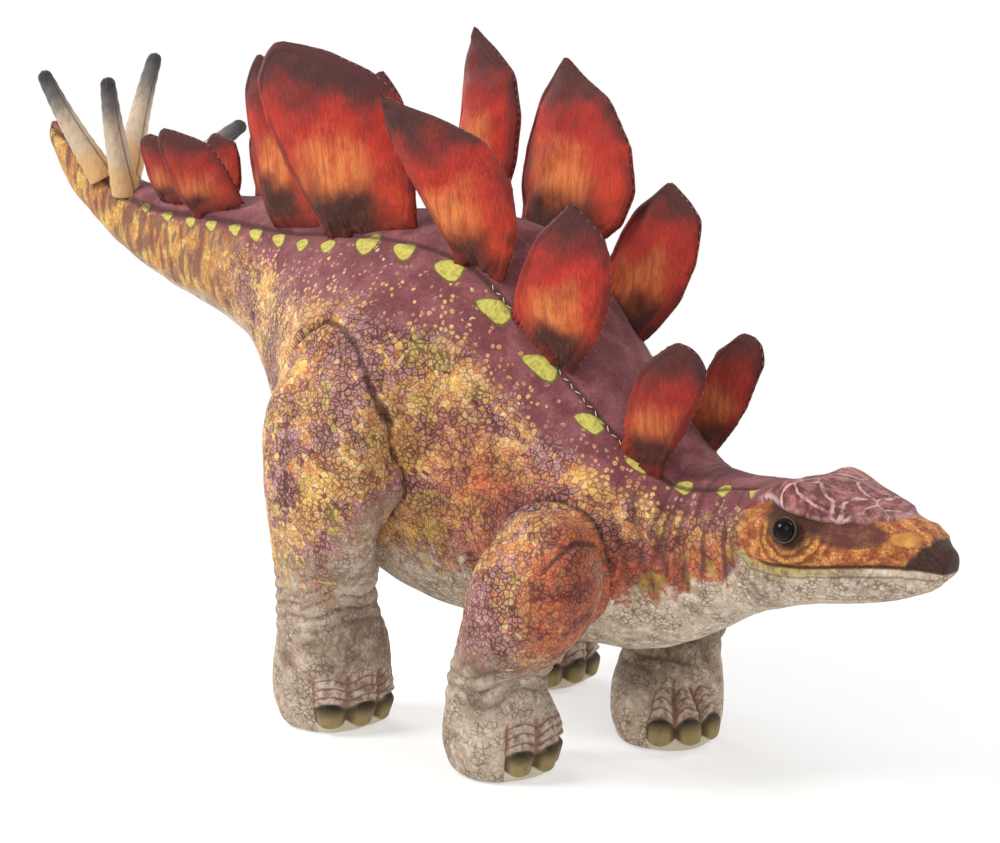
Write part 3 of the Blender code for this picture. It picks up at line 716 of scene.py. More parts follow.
def toe_relief(f):
    """Three toes with knuckles over round claws."""
    lobe = np.cos(math.pi * (f.toe - np.round(f.toe)))
    between = bump(f.toe - np.round(f.toe - 0.5) - 0.5, 0.13)
    knuckle = smoothstep(f.z, CLAW_TOP - 0.0004, CLAW_TOP + 0.0012)
    knuckle *= 1 - smoothstep(f.z, TOE_TOP - 0.008, TOE_TOP + 0.001)
    claw = (1 - smoothstep(f.z, CLAW_TOP - 0.0022, CLAW_TOP - 0.0002)) * smoothstep(f.z, 0.0012, 0.0042)
    out = 0.0014 * lobe * (knuckle + 1.2 * claw) - 0.0013 * between
    band = KNUCKLE_HEIGHT * np.sin(waves(f.z, KNUCKLE_WAVE)) * knuckle
    return (out + band) * f.on_toes


def head_relief(f):
    """The overhanging brow, the socket of the eye with its folds, the mouth line and the nostril."""
    side = smoothstep(np.abs(f.y), 0.004, 0.009) * f.head
    reach = 1 - smoothstep(f.x, 0.184, 0.196)
    rise = np.clip(f.brow, 0, None)
    over = smoothstep(f.brow, -0.0003, 0.0010) * (1 - smoothstep(rise, 0.0015, 0.0065))
    brow = 0.0019 * over * reach
    under = -0.0011 * bump(f.brow + 0.0016, 0.0016) * reach * bump(f.x - 0.160, 0.022)
    socket = -0.0008 * bump(f.eye, 0.0062)
    rim = 0.0006 * bump(f.eye - 1.35 * f.eye_radius, 0.0008) * smoothstep(-f.brow, 0.0, 0.002)
    lids = LID_HEIGHT * np.sin(waves(f.eye - f.eye_radius, LID_WAVE))
    lids *= bump(f.eye - 0.0100, 0.0034) * smoothstep(f.eye_centre.z - f.z, -0.002, 0.003)
    mouth = groove(f.mouth, *MOUTH_LINE) * smoothstep(f.x, 0.144, 0.149)
    cheek = 0.0007 * bump(f.mouth - 0.0050, 0.0030) * bump(f.x - 0.168, 0.016)
    nostril_x, nostril_z = NOSTRIL
    nostril = np.hypot((f.x - nostril_x) / 1.7, f.z - nostril_z)
    nose = 0.0007 * bump(nostril - 0.0018, 0.0010) - 0.0006 * bump(nostril, 0.0009)
    return (brow + under + socket + rim + lids + mouth + cheek + nose) * side


def softness(f):
    """Slow unevenness of stuffed fabric."""
    calm = 1 - 0.6 * f.head
    return (0.00045 * ripple(f.points, 0.034, 11) + 0.00016 * ripple(f.points, 0.013, 12)) * calm


def shape_skin(mesh, f):
    offset = seam_relief(f) + fold_relief(f) + toe_relief(f) + head_relief(f) + softness(f)
    offset *= smoothstep(f.z, 0.0, 0.0016)
    points = f.points + f.normals * offset[:, None]
    over = smoothstep(f.brow, -0.0003, 0.0008) * (1 - smoothstep(f.brow, 0.001, 0.004))
    over *= smoothstep(np.abs(f.y), 0.006, 0.010) * f.head * (1 - smoothstep(f.x, 0.180, 0.190))
    points[:, 2] -= 0.0011 * over
    flap = bump(f.x - 0.1535, 0.0075) * bump(np.abs(f.y) - 0.0150, 0.0040) * (f.share > 0.7) * f.head
    points[:, 2] += 0.0032 * flap
    points[:, 2] = np.maximum(points[:, 2], 0.0)
    move_points(mesh, points)


# ---------------------------------------------------------------- what the print and its painted shade need to know
def spot_field(f, trunk):
    """Above 0 inside a printed spot, falling smoothly outwards; spots are pointed towards the tail."""
    field = np.full(len(f.x), -3.0)
    for x, half in SPOT_ROW:
        near = np.abs(f.x - x) < 3 * half
        along = (f.x[near] - x) / half
        down = (f.z[near] - trunk.row_height(x)) / (half * 0.74)
        slope = (trunk.row_height(x + 0.004) - trunk.row_height(x - 0.004)) / 0.008
        down = down - 0.55 * slope * along
        taper = 0.66 + 0.34 * np.clip(along, -1, 1)
        lean = down / taper + 0.30 * along
        inside = 1 - (np.abs(along) ** 2.4 + np.abs(lean) ** 2.4) ** (1 / 2.4)
        field[near] = np.maximum(field[near], inside)
    return np.where((np.abs(f.y) > 0.004) & (f.leg < 0.5), field, -3.0)


THIGH_PRINT_FRONT = ((0.05, 0.004), (0.075, 0.019), (0.095, 0.034), (0.150, 0.080))  # z, x
ARM_PRINT_REAR = ((0.03, 0.060), (0.060, 0.058), (0.090, 0.060))  # z, x


def leg_print(f, legs):
    """How far a leg's printed patch reaches: above 0 is scales, below 0 is pale."""
    out = np.full(len(f.x), 1.0)
    facing = (f.normals[:, 1] * f.side + 0.55) * 2.2
    for i, leg in enumerate(legs):
        mine = (f.which == i) & (f.leg > 0.01)
        if leg.kind == "hind":
            height = (f.z - 0.056) / 0.016
            edge = (curve(THIGH_PRINT_FRONT, f.z) - f.x) / 0.006
        else:
            height = (f.z - 0.040 + 0.25 * (f.x - 0.085)) / 0.009
            edge = (f.x - curve(ARM_PRINT_REAR, f.z)) / 0.010
        out[mine] = np.minimum(np.minimum(height, edge), facing)[mine]
    return np.clip(out, -3, 3)


def print_and_shade_skin(mesh, f, trunk, legs):
    """Stores the fields that the fabric's material turns into its printed pattern and into painted shade in
    the wrinkles.
    """
    pale = (f.share - curve(PALE_SHARE, f.x)) / 0.10
    on_leg = leg_print(f, legs)
    printed = np.clip(pale, -3, 3) * (1 - f.leg) + on_leg * f.leg
    red_flank = smoothstep(f.x, 0.012, 0.070) * smoothstep(f.below, 0.16, 0.42) * (1 - f.leg)
    red_arm = smoothstep(f.x, 0.086, 0.098) * f.leg * f.front
    tops = np.array([leg.top for leg in legs])[f.which]
    low_on_leg = 1 - smoothstep(f.z, tops - 0.034, tops - 0.008)
    hip = np.where(f.on_hip > 0.3, f.hip[0], FAR)
    dart = np.where(f.outer * f.leg > 0.3, f.dart[0], FAR)
    gusset = np.where(f.head > 0.5, FAR, f.gusset)
    fields = {
        "rest": f.points,
        "below": f.below + 0.6 * f.leg * low_on_leg,
        "printed": printed,
        "red": np.maximum(red_flank, red_arm),
        "on_leg": f.leg,
        # crease: painted shade, darker brown in the wrinkles of the neck and ankles
        "crease": crease_shading(f),
        "spot": spot_field(f, trunk),
        "seam": np.minimum(np.minimum(hip, dart), np.minimum(f.join, gusset)),
        "brow": f.brow,
        "mouth": f.mouth,
        "eye": f.eye,
        "toe": f.toe,
        "on_toes": f.on_toes,
    }
    write_all(mesh, fields)


# ---------------------------------------------------------------- cutting the skin into pieces
NECK_BLEND = (0.099, 0.121)
HEAD_BLEND = (0.123, 0.147)
TAIL_BLEND = (-0.050, -0.104)
TIP_BLEND = (-0.116, -0.147)
LEG_WAY = {-1: Vector((0, -0.5, -0.866)), 1: Vector((0, 0.5, -0.866))}


def leg_reach(f, leg):
    """How far each vertex lies down and out along the way a leg bends."""
    return f.points @ np.array(LEG_WAY[leg.side])


def cut_piece(mesh, name, wanted):
    """A new object of the wanted faces, shaded as the whole skin is."""
    work = bmesh.new()
    work.from_mesh(mesh)
    work.faces.ensure_lookup_table()
    doomed = [face for face, keep in zip(work.faces, wanted) if not keep]
    bmesh.ops.delete(work, geom=doomed, context="FACES")
    made = bpy.data.meshes.new(name)
    work.to_mesh(made)
    work.free()
    whole = made.attributes["whole_normal"]
    made.normals_split_custom_set_from_vertices(read_all(whole.data, "vector", 3))
    made.attributes.remove(whole)
    obj = bpy.data.objects.new(name, made)
    bpy.context.scene.collection.objects.link(obj)
    return obj


def face_values(mesh, values, pick):
    """The lowest or highest vertex value of each face."""
    loops = read_all(mesh.loops, "vertex_index", 1, np.int32).ravel()
    starts = read_all(mesh.polygons, "loop_start", 1, np.int32).ravel()
    return pick.reduceat(values[loops], starts)


def dress(piece, body, fabric):
    """The piece stands for the body's covers and is made of the fabric."""
    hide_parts(*[node for node in BODIES[body] if node not in ("eye_right", "eye_left")])
    piece.data.materials.clear()
    piece.data.materials.append(fabric)


def cut_leg(mesh, leg, mine, fabric):
    """A leg's piece, from where it leaves the trunk down to its foot."""
    body, way = f"leg_{leg.name}", LEG_WAY[leg.side]
    piece = cut_piece(mesh, f"skin_{body}", mine)
    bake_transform(piece)
    dress(piece, body, fabric)


TRUNK_CUTS = {  # the x values each piece lies between
    "tail_tip": (-1.0, TIP_BLEND[0] + 0.004),
    "tail": (TIP_BLEND[0] + 0.004, TAIL_BLEND[0] + 0.004),
    "torso": (TAIL_BLEND[0] + 0.004, NECK_BLEND[0] - 0.006),
    "neck": (NECK_BLEND[0] - 0.006, HEAD_BLEND[0] - 0.001),
    "head": (HEAD_BLEND[0] - 0.001, 1.0),
}
TRUNK_BLENDS = {  # the body before, and the x values that the bend lies between
    "tail_tip": ("tail", TIP_BLEND),
    "tail": ("torso", TAIL_BLEND),
    "neck": ("torso", NECK_BLEND),
    "head": ("neck", HEAD_BLEND),
}


def split_skin(mesh, f, legs, fabric):
    """The pieces: head, shoulders with neck, torso, tail, tail tip, and the four lower legs."""
    shade_smooth(mesh)
    write_values(mesh, "whole_normal", mesh_normals(mesh))
    x_low = face_values(mesh, f.x, np.minimum)
    leg_low = face_values(mesh, f.leg, np.minimum)
    which = face_values(mesh, f.which.astype(float), np.maximum).astype(int)
    taken = np.zeros(len(mesh.polygons), bool)
    for i, leg in enumerate(legs):
        reach = leg_reach(f, leg)
        near = (f.which == i) & (f.leg > 0.05) & (f.leg < 0.95)
        start = reach[near].max() + 0.0005 if near.any() else reach.max() - 0.06
        low = face_values(mesh, reach, np.minimum)
        mine = (which == i) & (leg_low > 0.95) & (low > start - 0.003)
        taken |= mine
        cut_leg(mesh, leg, mine, fabric)
    for body, (low, high) in TRUNK_CUTS.items():
        mine = (x_low >= low) & (x_low < high) & ~taken
        if body == "torso":
            mine |= (x_low < 0.13) & (x_low > -0.05) & (leg_low > 0.5) & ~taken
        taken |= mine
        piece = cut_piece(mesh, f"skin_{body}", mine)
        if body in TRUNK_BLENDS:
            before, (start, end) = TRUNK_BLENDS[body]
            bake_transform(piece)
        else:
            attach(piece, body)
        dress(piece, body, fabric)


# ---------------------------------------------------------------- plates
PLATE_VOXEL = 0.0012
PLATE_PRESSURE = 4.0
PLATE_FRAMES = 14
PLATE_SWELL = 0.0014  # how far the cloth may move
TIP_ROUNDS = 75  # rounds of smoothing that blunt a plate's tip within its own plane
PLATE_SINK = 0.0075  # how far a point on the back would be drawn down
PLATE_SINK_REACH = 0.0070  # height over the back where the drawing down ends
INSET_SEAM = 0.0034  # distance of the plates' inner line from their edge
NAP_STRETCH = 0.16  # the fur's pattern is drawn out upwards by this
STITCH_STEP = 0.0024
STITCH_LENGTH = 0.0014
STITCH_RADIUS = 0.00011
PLATES = [f"plate_{side}_{number}" for side in ("right", "left") for number in range(1, 8)]


class PlateAxes:
    """A plate's own directions, read from its CAD node: up, forward and through its thickness."""

    def __init__(self, name):
        points = mesh_points(frame["nodes"][name].data)
        self.centre, axes = main_axes(points)
        self.through = axes[2] * (1 if axes[2][1] > 0 else -1)
        up = np.array([0, 0, 1.0]) - self.through * self.through[2]
        self.up = up / np.linalg.norm(up)
        self.forward = -np.cross(self.up, self.through)
        if self.forward[0] < 0:
            self.forward = -self.forward
        heights = (points - self.centre) @ self.up
        self.low, self.high = heights.min(), heights.max()

    def local(self, points):
        """Forward, up and through coordinates of points, from the plate's centre."""
        away = points - self.centre
        return away @ self.forward, away @ self.up, away @ self.through


def swell(obj, held):
    """Cloth simulation: the closed fabric fills out under pressure, held where its seam is."""
    group = obj.vertex_groups.new(name="held")
    for i in np.flatnonzero(held > 0.02):
        group.add([int(i)], float(held[i]), "REPLACE")
    before = mesh_points(obj.data)
    cloth = obj.modifiers.new("swell", "CLOTH")
    cloth.settings.use_pressure = True
    cloth.settings.uniform_pressure_force = PLATE_PRESSURE
    cloth.settings.vertex_group_mass = "held"
    cloth.settings.tension_stiffness = 12
    cloth.settings.bending_stiffness = 0.4
    cloth.settings.effector_weights.gravity = 0
    cloth.point_cache.frame_end = PLATE_FRAMES
    scene = bpy.context.scene
    for number in range(1, PLATE_FRAMES + 1):
        scene.frame_set(number)
    after = mesh_points(evaluated_mesh(obj))
    obj.modifiers.remove(cloth)
    scene.frame_set(1)
    obj.vertex_groups.clear()
    moved = after - before
    length = np.maximum(np.linalg.norm(moved, axis=1), 1e-9)
    moved *= np.minimum(1.0, PLATE_SWELL / length)[:, None]
    move_points(obj.data, before + moved)


def blunted(points, edges, axes):
    """The plate with a rounder tip and its thickness kept."""
    up = axes.local(points)[1]
    share = (up - axes.low) / (axes.high - axes.low)
    rounder = relaxed(points, edges, 0.8 * smoothstep(share, 0.70, 0.90), TIP_ROUNDS)
    thinned = (points - rounder) @ axes.through
    lost = up.max() - axes.local(rounder)[1].max()
    lift = lost * smoothstep(share, 0.20, 0.80)
    return rounder + thinned[:, None] * axes.through + lift[:, None] * axes.up


def swollen_plates():
    """Every plate as an even mesh, all filled out in one simulation; returns points and faces each."""
    pieces, points, faces = {}, [], []
    for name in PLATES:
        copy = frame_copy(name)
        mesh = remeshed(copy, PLATE_VOXEL)
        discard(copy)
        own = relaxed(mesh_points(mesh), mesh_edges(mesh), 0.5 * np.ones(len(mesh.vertices)), 4)
        own = blunted(own, mesh_edges(mesh), PlateAxes(name))
        pieces[name] = (len(points), len(own), [tuple(face.vertices) for face in mesh.polygons])
        start = len(points)
        points += list(own)
        faces += [[start + i for i in face] for face in pieces[name][2]]
    joined = new_object("plates_in_one", points, faces)
    held = np.zeros(len(points))
    for name, (start, count, _) in pieces.items():
        through = PlateAxes(name).local(np.array(points[start : start + count]))[2]
        held[start : start + count] = 1 - smoothstep(np.abs(through), 0.0010, 0.0020)
    swell(joined, held)
    settled = mesh_points(joined.data)
    discard(joined)
    return {name: (settled[s : s + n], f) for name, (s, n, f) in pieces.items()}


def frame_copy(name):
    """A loose copy of a CAD node to work on; the node itself stays as it is."""
    obj = bpy.data.objects.new("working_copy", frame["nodes"][name].data.copy())
    bpy.context.scene.collection.objects.link(obj)
    return obj


def stitch(points, faces, place, way, out, length, radius):
    """Adds one short thread, a six-sided bead with pointed ends, lying along way."""
    way = way / np.linalg.norm(way)
    side = np.cross(way, out)
    side /= np.linalg.norm(side)
    start = len(points)
    for along, swell_here in ((-0.5, 0.25), (-0.28, 1.0), (0.28, 1.0), (0.5, 0.25)):
        for k in range(6):
            angle = k * math.pi / 3
            ring = side * math.cos(angle) + out * math.sin(angle)
            points.append(place + way * along * length + ring * radius * swell_here)
    for ring in range(3):
        for k in range(6):
            a, b = start + ring * 6 + k, start + ring * 6 + (k + 1) % 6
            faces.append((a, b, b + 6, a + 6))
    faces.append(tuple(start + k for k in reversed(range(6))))
    faces.append(tuple(start + 18 + k for k in range(6)))


def rim_outline(forward, up, through, steps=180):
    """Radius of the plate's outline round its centre, by angle."""
    rim = np.abs(through) < 0.0012
    angle = np.arctan2(up[rim], forward[rim])
    radius = np.hypot(up[rim], forward[rim])
    bins = ((angle + math.pi) / (2 * math.pi) * steps).astype(int) % steps
    found = np.full(steps, np.nan)
    for b in range(steps):
        if (bins == b).any():
            found[b] = radius[bins == b].max()
    found = filled(found, steps)
    for _ in range(2):
        found = softened(np.roll(found, 1), found, np.roll(found, -1))
    return (np.arange(steps) + 0.5) / steps * 2 * math.pi - math.pi, found


def rim_stitches(axes, angles, radii):
    """Threads along the plate's edge seam, down to where the plate meets the back."""
    points, faces = [], []
    rim = [
        axes.centre + axes.forward * r * math.cos(a) + axes.up * r * math.sin(a)
        for a, r in zip(angles, radii)
    ]
    walked = 0.0
    for here, after in zip(rim, rim[1:] + rim[:1]):
        walked += np.linalg.norm(after - here)
        above = (here - axes.centre) @ axes.up - axes.low
        if walked < STITCH_STEP or above < 0.004:
            continue
        walked = 0.0
        out = here - axes.centre
        out /= np.linalg.norm(out)
        way = after - here + axes.through * 0.00012
        stitch(points, faces, here - out * 0.00022, way, out, STITCH_LENGTH, STITCH_RADIUS)
    return points, faces


def sunk(points, above, tree):
    """Draws the lower edge of a plate down until it stands in the back instead of over it."""
    points = points.copy()
    for i in np.flatnonzero(above < 0.030):
        _, normal, _, distance = tree.find_nearest(Vector(points[i]))
        if distance < PLATE_SINK_REACH:
            drop = (1 - distance / PLATE_SINK_REACH) ** 1.2 * PLATE_SINK
            points[i] -= np.array(normal) * drop
    return points


def make_plate(name, points, faces, fabric, thread, skin_tree):
    axes = PlateAxes(name)
    rough = new_object(name + "_rough", points, faces)
    level = rough.modifiers.new("finer", "SUBSURF")
    level.levels = level.render_levels = 1
    mesh = evaluated_mesh(rough)
    discard(rough)
    points, normals = mesh_points(mesh), mesh_normals(mesh)
    forward, up, through = axes.local(points)
    angles, radii = rim_outline(forward, up, through)
    edge = np.interp(np.arctan2(up, forward), angles, radii, period=2 * math.pi) - np.hypot(up, forward)
    height = axes.high - axes.low
    share = (up - axes.low) / height
    at_rim = 1 - smoothstep(edge, 0.0004, 0.0018)
    relief = -0.00055 * bump(through, 0.00045) * at_rim
    relief += 0.00022 * bump(np.abs(edge) - 0.0022, 0.0010)
    relief += 0.00026 * ripple(points, 0.011, 21) * smoothstep(edge, 0.001, 0.004)
    relief -= 0.00022 * bump(edge - INSET_SEAM, 0.0006) * smoothstep(share, 0.04, 0.12)
    points = sunk(points + normals * relief[:, None], up - axes.low, skin_tree)
    threads, thread_faces = rim_stitches(axes, angles, radii)
    cloth_faces = [tuple(face.vertices) for face in mesh.polygons]
    count = len(points)
    everything = np.concatenate([points, np.array(threads)]) if threads else points
    all_faces = cloth_faces + [tuple(count + i for i in face) for face in thread_faces]
    obj = new_object("cover_" + name, everything, all_faces)
    index = np.zeros(len(all_faces), np.int32)
    index[len(cloth_faces) :] = 1
    obj.data.polygons.foreach_set("material_index", index)
    shade_smooth(obj.data)
    write_values(obj.data, "rest", everything)
    # painted shade: a share that darkens the smaller plates
    write_values(obj.data, "dusk", np.full(len(everything), 1 - smoothstep(height, 0.038, 0.062)))
    cloth_fields = {
        "height": share,
        "across": forward / np.abs(forward).max(),
        "edge": edge,
        "through": through,
        "nap": np.stack([forward, up * NAP_STRETCH, through], axis=1),
    }
    for field, values in cloth_fields.items():  # the threads, which follow the cloth, have none of these
        none = np.zeros((len(everything) - count, *values.shape[1:]))
        write_values(obj.data, field, np.concatenate([values, none]))
    obj.data.materials.append(fabric)
    obj.data.materials.append(thread)
    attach(obj, name)
    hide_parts(name)


# ---------------------------------------------------------------- spikes
SPIKES = [f"tail_spike_{place}" for place in ("rear_right", "rear_left", "front_right", "front_left")]
SPIKE_SINK = 0.0045  # how deep a spike's lower end is set into the tail


def make_spike(name, fabric):
    """A slender sewn cone with a rounded tip, its lower end set into the tail."""
    points = mesh_points(frame["nodes"][name].data)
    centre, axes = main_axes(points)
    way = axes[0] if axes[0][2] > 0 else -axes[0]
    along, away = along_axis(points, centre, way)
    low, high = along.min(), along.max()
    length = high - low
    base = away[along < low + 0.25 * length].max()
    near_tip = away[along > high - 0.30 * length].max()
    side, other = crossways(way, (0, 1.0, 0))
    rings, spokes = 60, 40
    rows, heights, turns = [], [], []
    for i in range(rings):
        share = i / (rings - 1)
        lift = -SPIKE_SINK + (length + SPIKE_SINK) * share
        taper = base + (near_tip * 0.86 - base) * max(lift / length, 0.0) ** 0.8
        dome = math.sqrt(max(0.0, 1 - max(0.0, (lift - length + near_tip) / near_tip) ** 2))
        bow = 0.0011 * math.sin(math.pi * max(lift, 0) / length)
        for k in range(spokes):
            angle = 2 * math.pi * k / spokes
            seam = 0.00035 * math.exp(-((math.sin(angle) / 0.12) ** 2))
            crease = 0.00008 * math.sin(lift * 1300 + 2.0 * math.sin(angle * 2))
            radius = max(taper - seam + crease, 0.0003) * max(dome, 0.02)
            spoke = side * math.cos(angle) + other * math.sin(angle)
            rows.append(centre + way * (low + lift) + spoke * radius + side * bow)
            heights.append(max(lift / length, 0.0))
            turns.append(math.sin(angle))
    rows += [centre + way * (low - SPIKE_SINK), centre + way * high]
    heights += [0.0, 1.0]
    turns += [0.0, 0.0]
    obj = new_object("cover_" + name, rows, [tuple(reversed(f)) for f in ring_faces(rings, spokes)])
    shade_smooth(obj.data)
    write_all(obj.data, {"rest": rows, "height": heights, "turn": turns})
    obj.data.materials.append(fabric)
    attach(obj, name)
    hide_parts(name)


# ---------------------------------------------------------------- eyes
def turned(name, profile, centre, way, spokes=64):
    """A body turned round way, from (radius, height) pairs."""
    way = np.array(way, float) / np.linalg.norm(way)
    side, other = crossways(way, (0, 0, 1.0))
    points = []
    for radius, height in profile:
        for k in range(spokes):
            angle = 2 * math.pi * k / spokes
            spoke = side * math.cos(angle) + other * math.sin(angle)
            points.append(centre + way * height + spoke * radius)
    points.append(centre + way * profile[0][1])
    points.append(centre + way * profile[-1][1])
    obj = new_object(name, points, ring_faces(len(profile), spokes))
    shade_smooth(obj.data)
    return obj


EYE_SCALE = 0.86  # the sewn-in eye shows this much of the CAD eye's radius
EYE_RIM = (  # share of the radius, height
    (0.80, -0.0012), (1.00, -0.0012), (1.03, 0.0002), (1.00, 0.0007),
    (0.95, 0.0009), (0.90, 0.0007), (0.86, 0.0002),
)


def make_eye(side, gloss, rim_plastic):
    """A black glass-like dome in a thin clear rim, facing out as the CAD eye does."""
    eye, washer = f"eye_{side}", f"eye_washer_{side}"
    points = mesh_points(frame["nodes"][eye].data)
    back, axes = main_axes(mesh_points(frame["nodes"][washer].data))
    way = axes[2] if (points.mean(axis=0) - back) @ axes[2] > 0 else -axes[2]
    along, away = along_axis(points, back, way)
    low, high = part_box(eye)
    radius = (high.z - low.z) / 2 * EYE_SCALE
    seat = along[away > 0.9 * radius].min()
    dome = along.max() - seat
    steps = np.linspace(0, math.pi / 2, 18)
    profile = [(0.88 * radius * math.cos(a), dome * 0.16 + dome * 0.84 * math.sin(a)) for a in steps]
    profile = [(0.88 * radius, -0.0012)] + profile[:-1] + [(0.00004, dome)]
    ball = turned(f"{eye}_dome", profile, back + way * seat, way)
    ball.data.materials.append(gloss)
    rim = turned(f"{eye}_rim", [(radius * r, h) for r, h in EYE_RIM], back + way * seat, way)
    rim.data.materials.append(rim_plastic)
    for piece in (ball, rim):
        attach(piece, "head")
    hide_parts(eye, washer)


# ---------------------------------------------------------------- thread along the back seams
SEAM_STRETCHES = ((-0.028, -0.022), (0.046, 0.060), (0.071, 0.099))


def seam_place(skin_tree, side, x):
    """Place and normal of the skin on a gusset seam at x."""
    start = Vector((x, side * float(gusset_line(x)), 1))
    return skin_tree.ray_cast(start, Vector((0, 0, -1)))[:2]


def make_back_stitches(skin_tree, thread):
    """Hand stitches that close the gusset seams, seen between the plates."""
    points, faces = [], []
    for side in (-1, 1):
        for low, high in SEAM_STRETCHES:
            for number, x in enumerate(np.arange(low, high, 0.0021)):
                here, normal = seam_place(skin_tree, side, x)
                after, _ = seam_place(skin_tree, side, x + 0.001)
                if here is None or after is None:
                    continue
                way, out = np.array(after - here), np.array(normal)
                sway = np.cross(out, way) * (0.5 if number % 2 else -0.5)
                place = np.array(here) + out * 0.00008
                stitch(points, faces, place, way + sway, out, 0.0021, 0.00017)
    obj = new_object("back_seam_thread", points, faces)
    shade_smooth(obj.data)
    obj.data.materials.append(thread)
    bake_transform(obj)


# ---------------------------------------------------------------- materials
class Graph:
    """Short names for the shader nodes of one material. Colours are (red, green, blue) from 0 to 255."""

    def __init__(self, name):
        self.material = bpy.data.materials.new(name)
        self.material.use_nodes = True
        self.tree = self.material.node_tree
        self.tree.nodes.clear()

    def node(self, kind, **settings):
        made = self.tree.nodes.new("ShaderNode" + kind)
        for key, value in settings.items():
            setattr(made, key, value)
        return made

    def feed(self, socket, value):
        if isinstance(value, bpy.types.NodeSocket):
            self.tree.links.new(value, socket)
        elif isinstance(value, tuple) and socket.type == "RGBA":
            socket.default_value = linear(value)
        elif value is not None:
            socket.default_value = value

    def set(self, made, **values):
        """Feeds a node's inputs by name; an underscore stands for a space."""
        for name, value in values.items():
            self.feed(made.inputs[name.replace("_", " ")], value)
        return made

    def number(self, name):
        return self.node("Attribute", attribute_name=name).outputs["Fac"]

    def math(self, operation, a, b=None, clamp=False):
        made = self.node("Math", operation=operation, use_clamp=clamp)
        self.feed(made.inputs[0], a)
        self.feed(made.inputs[1], b)
        return made.outputs[0]

    def add(self, a, b):
        return self.math("ADD", a, b)

    def times(self, *factors):
        total = factors[0]
        for factor in factors[1:]:
            total = self.math("MULTIPLY", total, factor)
        return total

    def less(self, a, b):
        return self.math("SUBTRACT", a, b)

    def most(self, a, b):
        return self.math("MAXIMUM", a, b)

    def inverse(self, a):
        return self.math("SUBTRACT", 1.0, a, clamp=True)

    def step(self, value, low, high):
        """0 below low, 1 above high, smooth between; low may be above high."""
        made = self.node("MapRange", interpolation_type="SMOOTHSTEP")
        ends = (1.0, 0.0) if low > high else (0.0, 1.0)
        self.set(made, Value=value, From_Min=min(low, high), From_Max=max(low, high))
        return self.set(made, To_Min=ends[0], To_Max=ends[1]).outputs["Result"]

    def near_zero(self, value, wide, narrow):
        """1 where the value is within narrow of 0, and 0 beyond wide."""
        return self.step(self.math("ABSOLUTE", value), wide, narrow)

    def mix(self, share, a, b):
        made = self.node("Mix", data_type="RGBA")
        self.feed(made.inputs[0], share)
        self.feed(made.inputs[6], a)
        self.feed(made.inputs[7], b)
        return made.outputs[2]

    def over(self, colour, top, *shares):
        """A colour with another laid over it, by the product of the shares."""
        return self.mix(self.times(*shares), colour, top)

    def scaled(self, vector, factors):
        made = self.node("VectorMath", operation="MULTIPLY")
        self.feed(made.inputs[0], vector)
        made.inputs[1].default_value = factors
        return made.outputs[0]

    def noise(self, vector, scale, detail=3.0, roughness=0.55):
        made = self.node("TexNoise")
        return self.set(made, Vector=vector, Scale=scale, Detail=detail, Roughness=roughness).outputs["Fac"]

    def patches(self, vector, scale, low, high, detail=3.0, roughness=0.55):
        """Soft-edged patches: noise below low is 0, above high is 1."""
        return self.step(self.noise(vector, scale, detail, roughness), low, high)

    def wander(self, vector, scale, reach, detail=3.0):
        """Noise round 0 that reaches about half of reach both ways."""
        return self.times(self.less(self.noise(vector, scale, detail), 0.5), reach)

    def warped(self, vector, scale, reach):
        """The vector moved about by noise, so that patterns lose their regularity."""
        made = self.set(self.node("TexNoise"), Vector=vector, Scale=scale, Detail=2.0)
        centred = self.node("VectorMath", operation="SUBTRACT")
        self.feed(centred.inputs[0], made.outputs["Color"])
        centred.inputs[1].default_value = (0.5, 0.5, 0.5)
        moved = self.node("VectorMath", operation="MULTIPLY_ADD")
        self.feed(moved.inputs[0], centred.outputs[0])
        moved.inputs[1].default_value = (reach, reach, reach)
        self.feed(moved.inputs[2], vector)
        return moved.outputs[0]

    def cells(self, vector, scale):
        return self.set(self.node("TexVoronoi"), Vector=vector, Scale=scale).outputs

    def cell_edges(self, vector, scale):
        made = self.node("TexVoronoi", feature="DISTANCE_TO_EDGE")
        return self.set(made, Vector=vector, Scale=scale).outputs["Distance"]

    def parts(self, vector):
        made = self.node("SeparateXYZ")
        self.feed(made.inputs[0], vector)
        return made.outputs

    def oval(self, x, z, centre, half):
        """In the side view, 0 at the centre of an oval and 1 on its edge."""
        across = self.times(self.less(x, centre[0]), 1 / half[0])
        up = self.times(self.less(z, centre[1]), 1 / half[1])
        return self.add(self.times(across, across), self.times(up, up))

    def bump(self, height, strength, distance, normal=None):
        made = self.node("Bump")
        self.set(made, Strength=strength, Distance=distance, Height=height, Normal=normal)
        return made.outputs[0]

    def finish(self, colour, roughness, normal=None, sheen=0.0, tint=None, specular=0.35):
        shader = self.node("BsdfPrincipled")
        self.set(shader, Base_Color=colour, Roughness=roughness, Normal=normal, Sheen_Weight=sheen)
        self.set(shader, Sheen_Roughness=0.45, Sheen_Tint=tint, Specular_IOR_Level=specular)
        output = self.node("OutputMaterial")
        self.tree.links.new(shader.outputs[0], output.inputs["Surface"])
        return self.material


def linear(colour):
    """A colour of the 0 to 255 kind as the linear values that shaders take."""
    shares = [part / 255 for part in colour]
    return (*[s / 12.92 if s <= 0.04045 else ((s + 0.055) / 1.055) ** 2.4 for s in shares], 1.0)


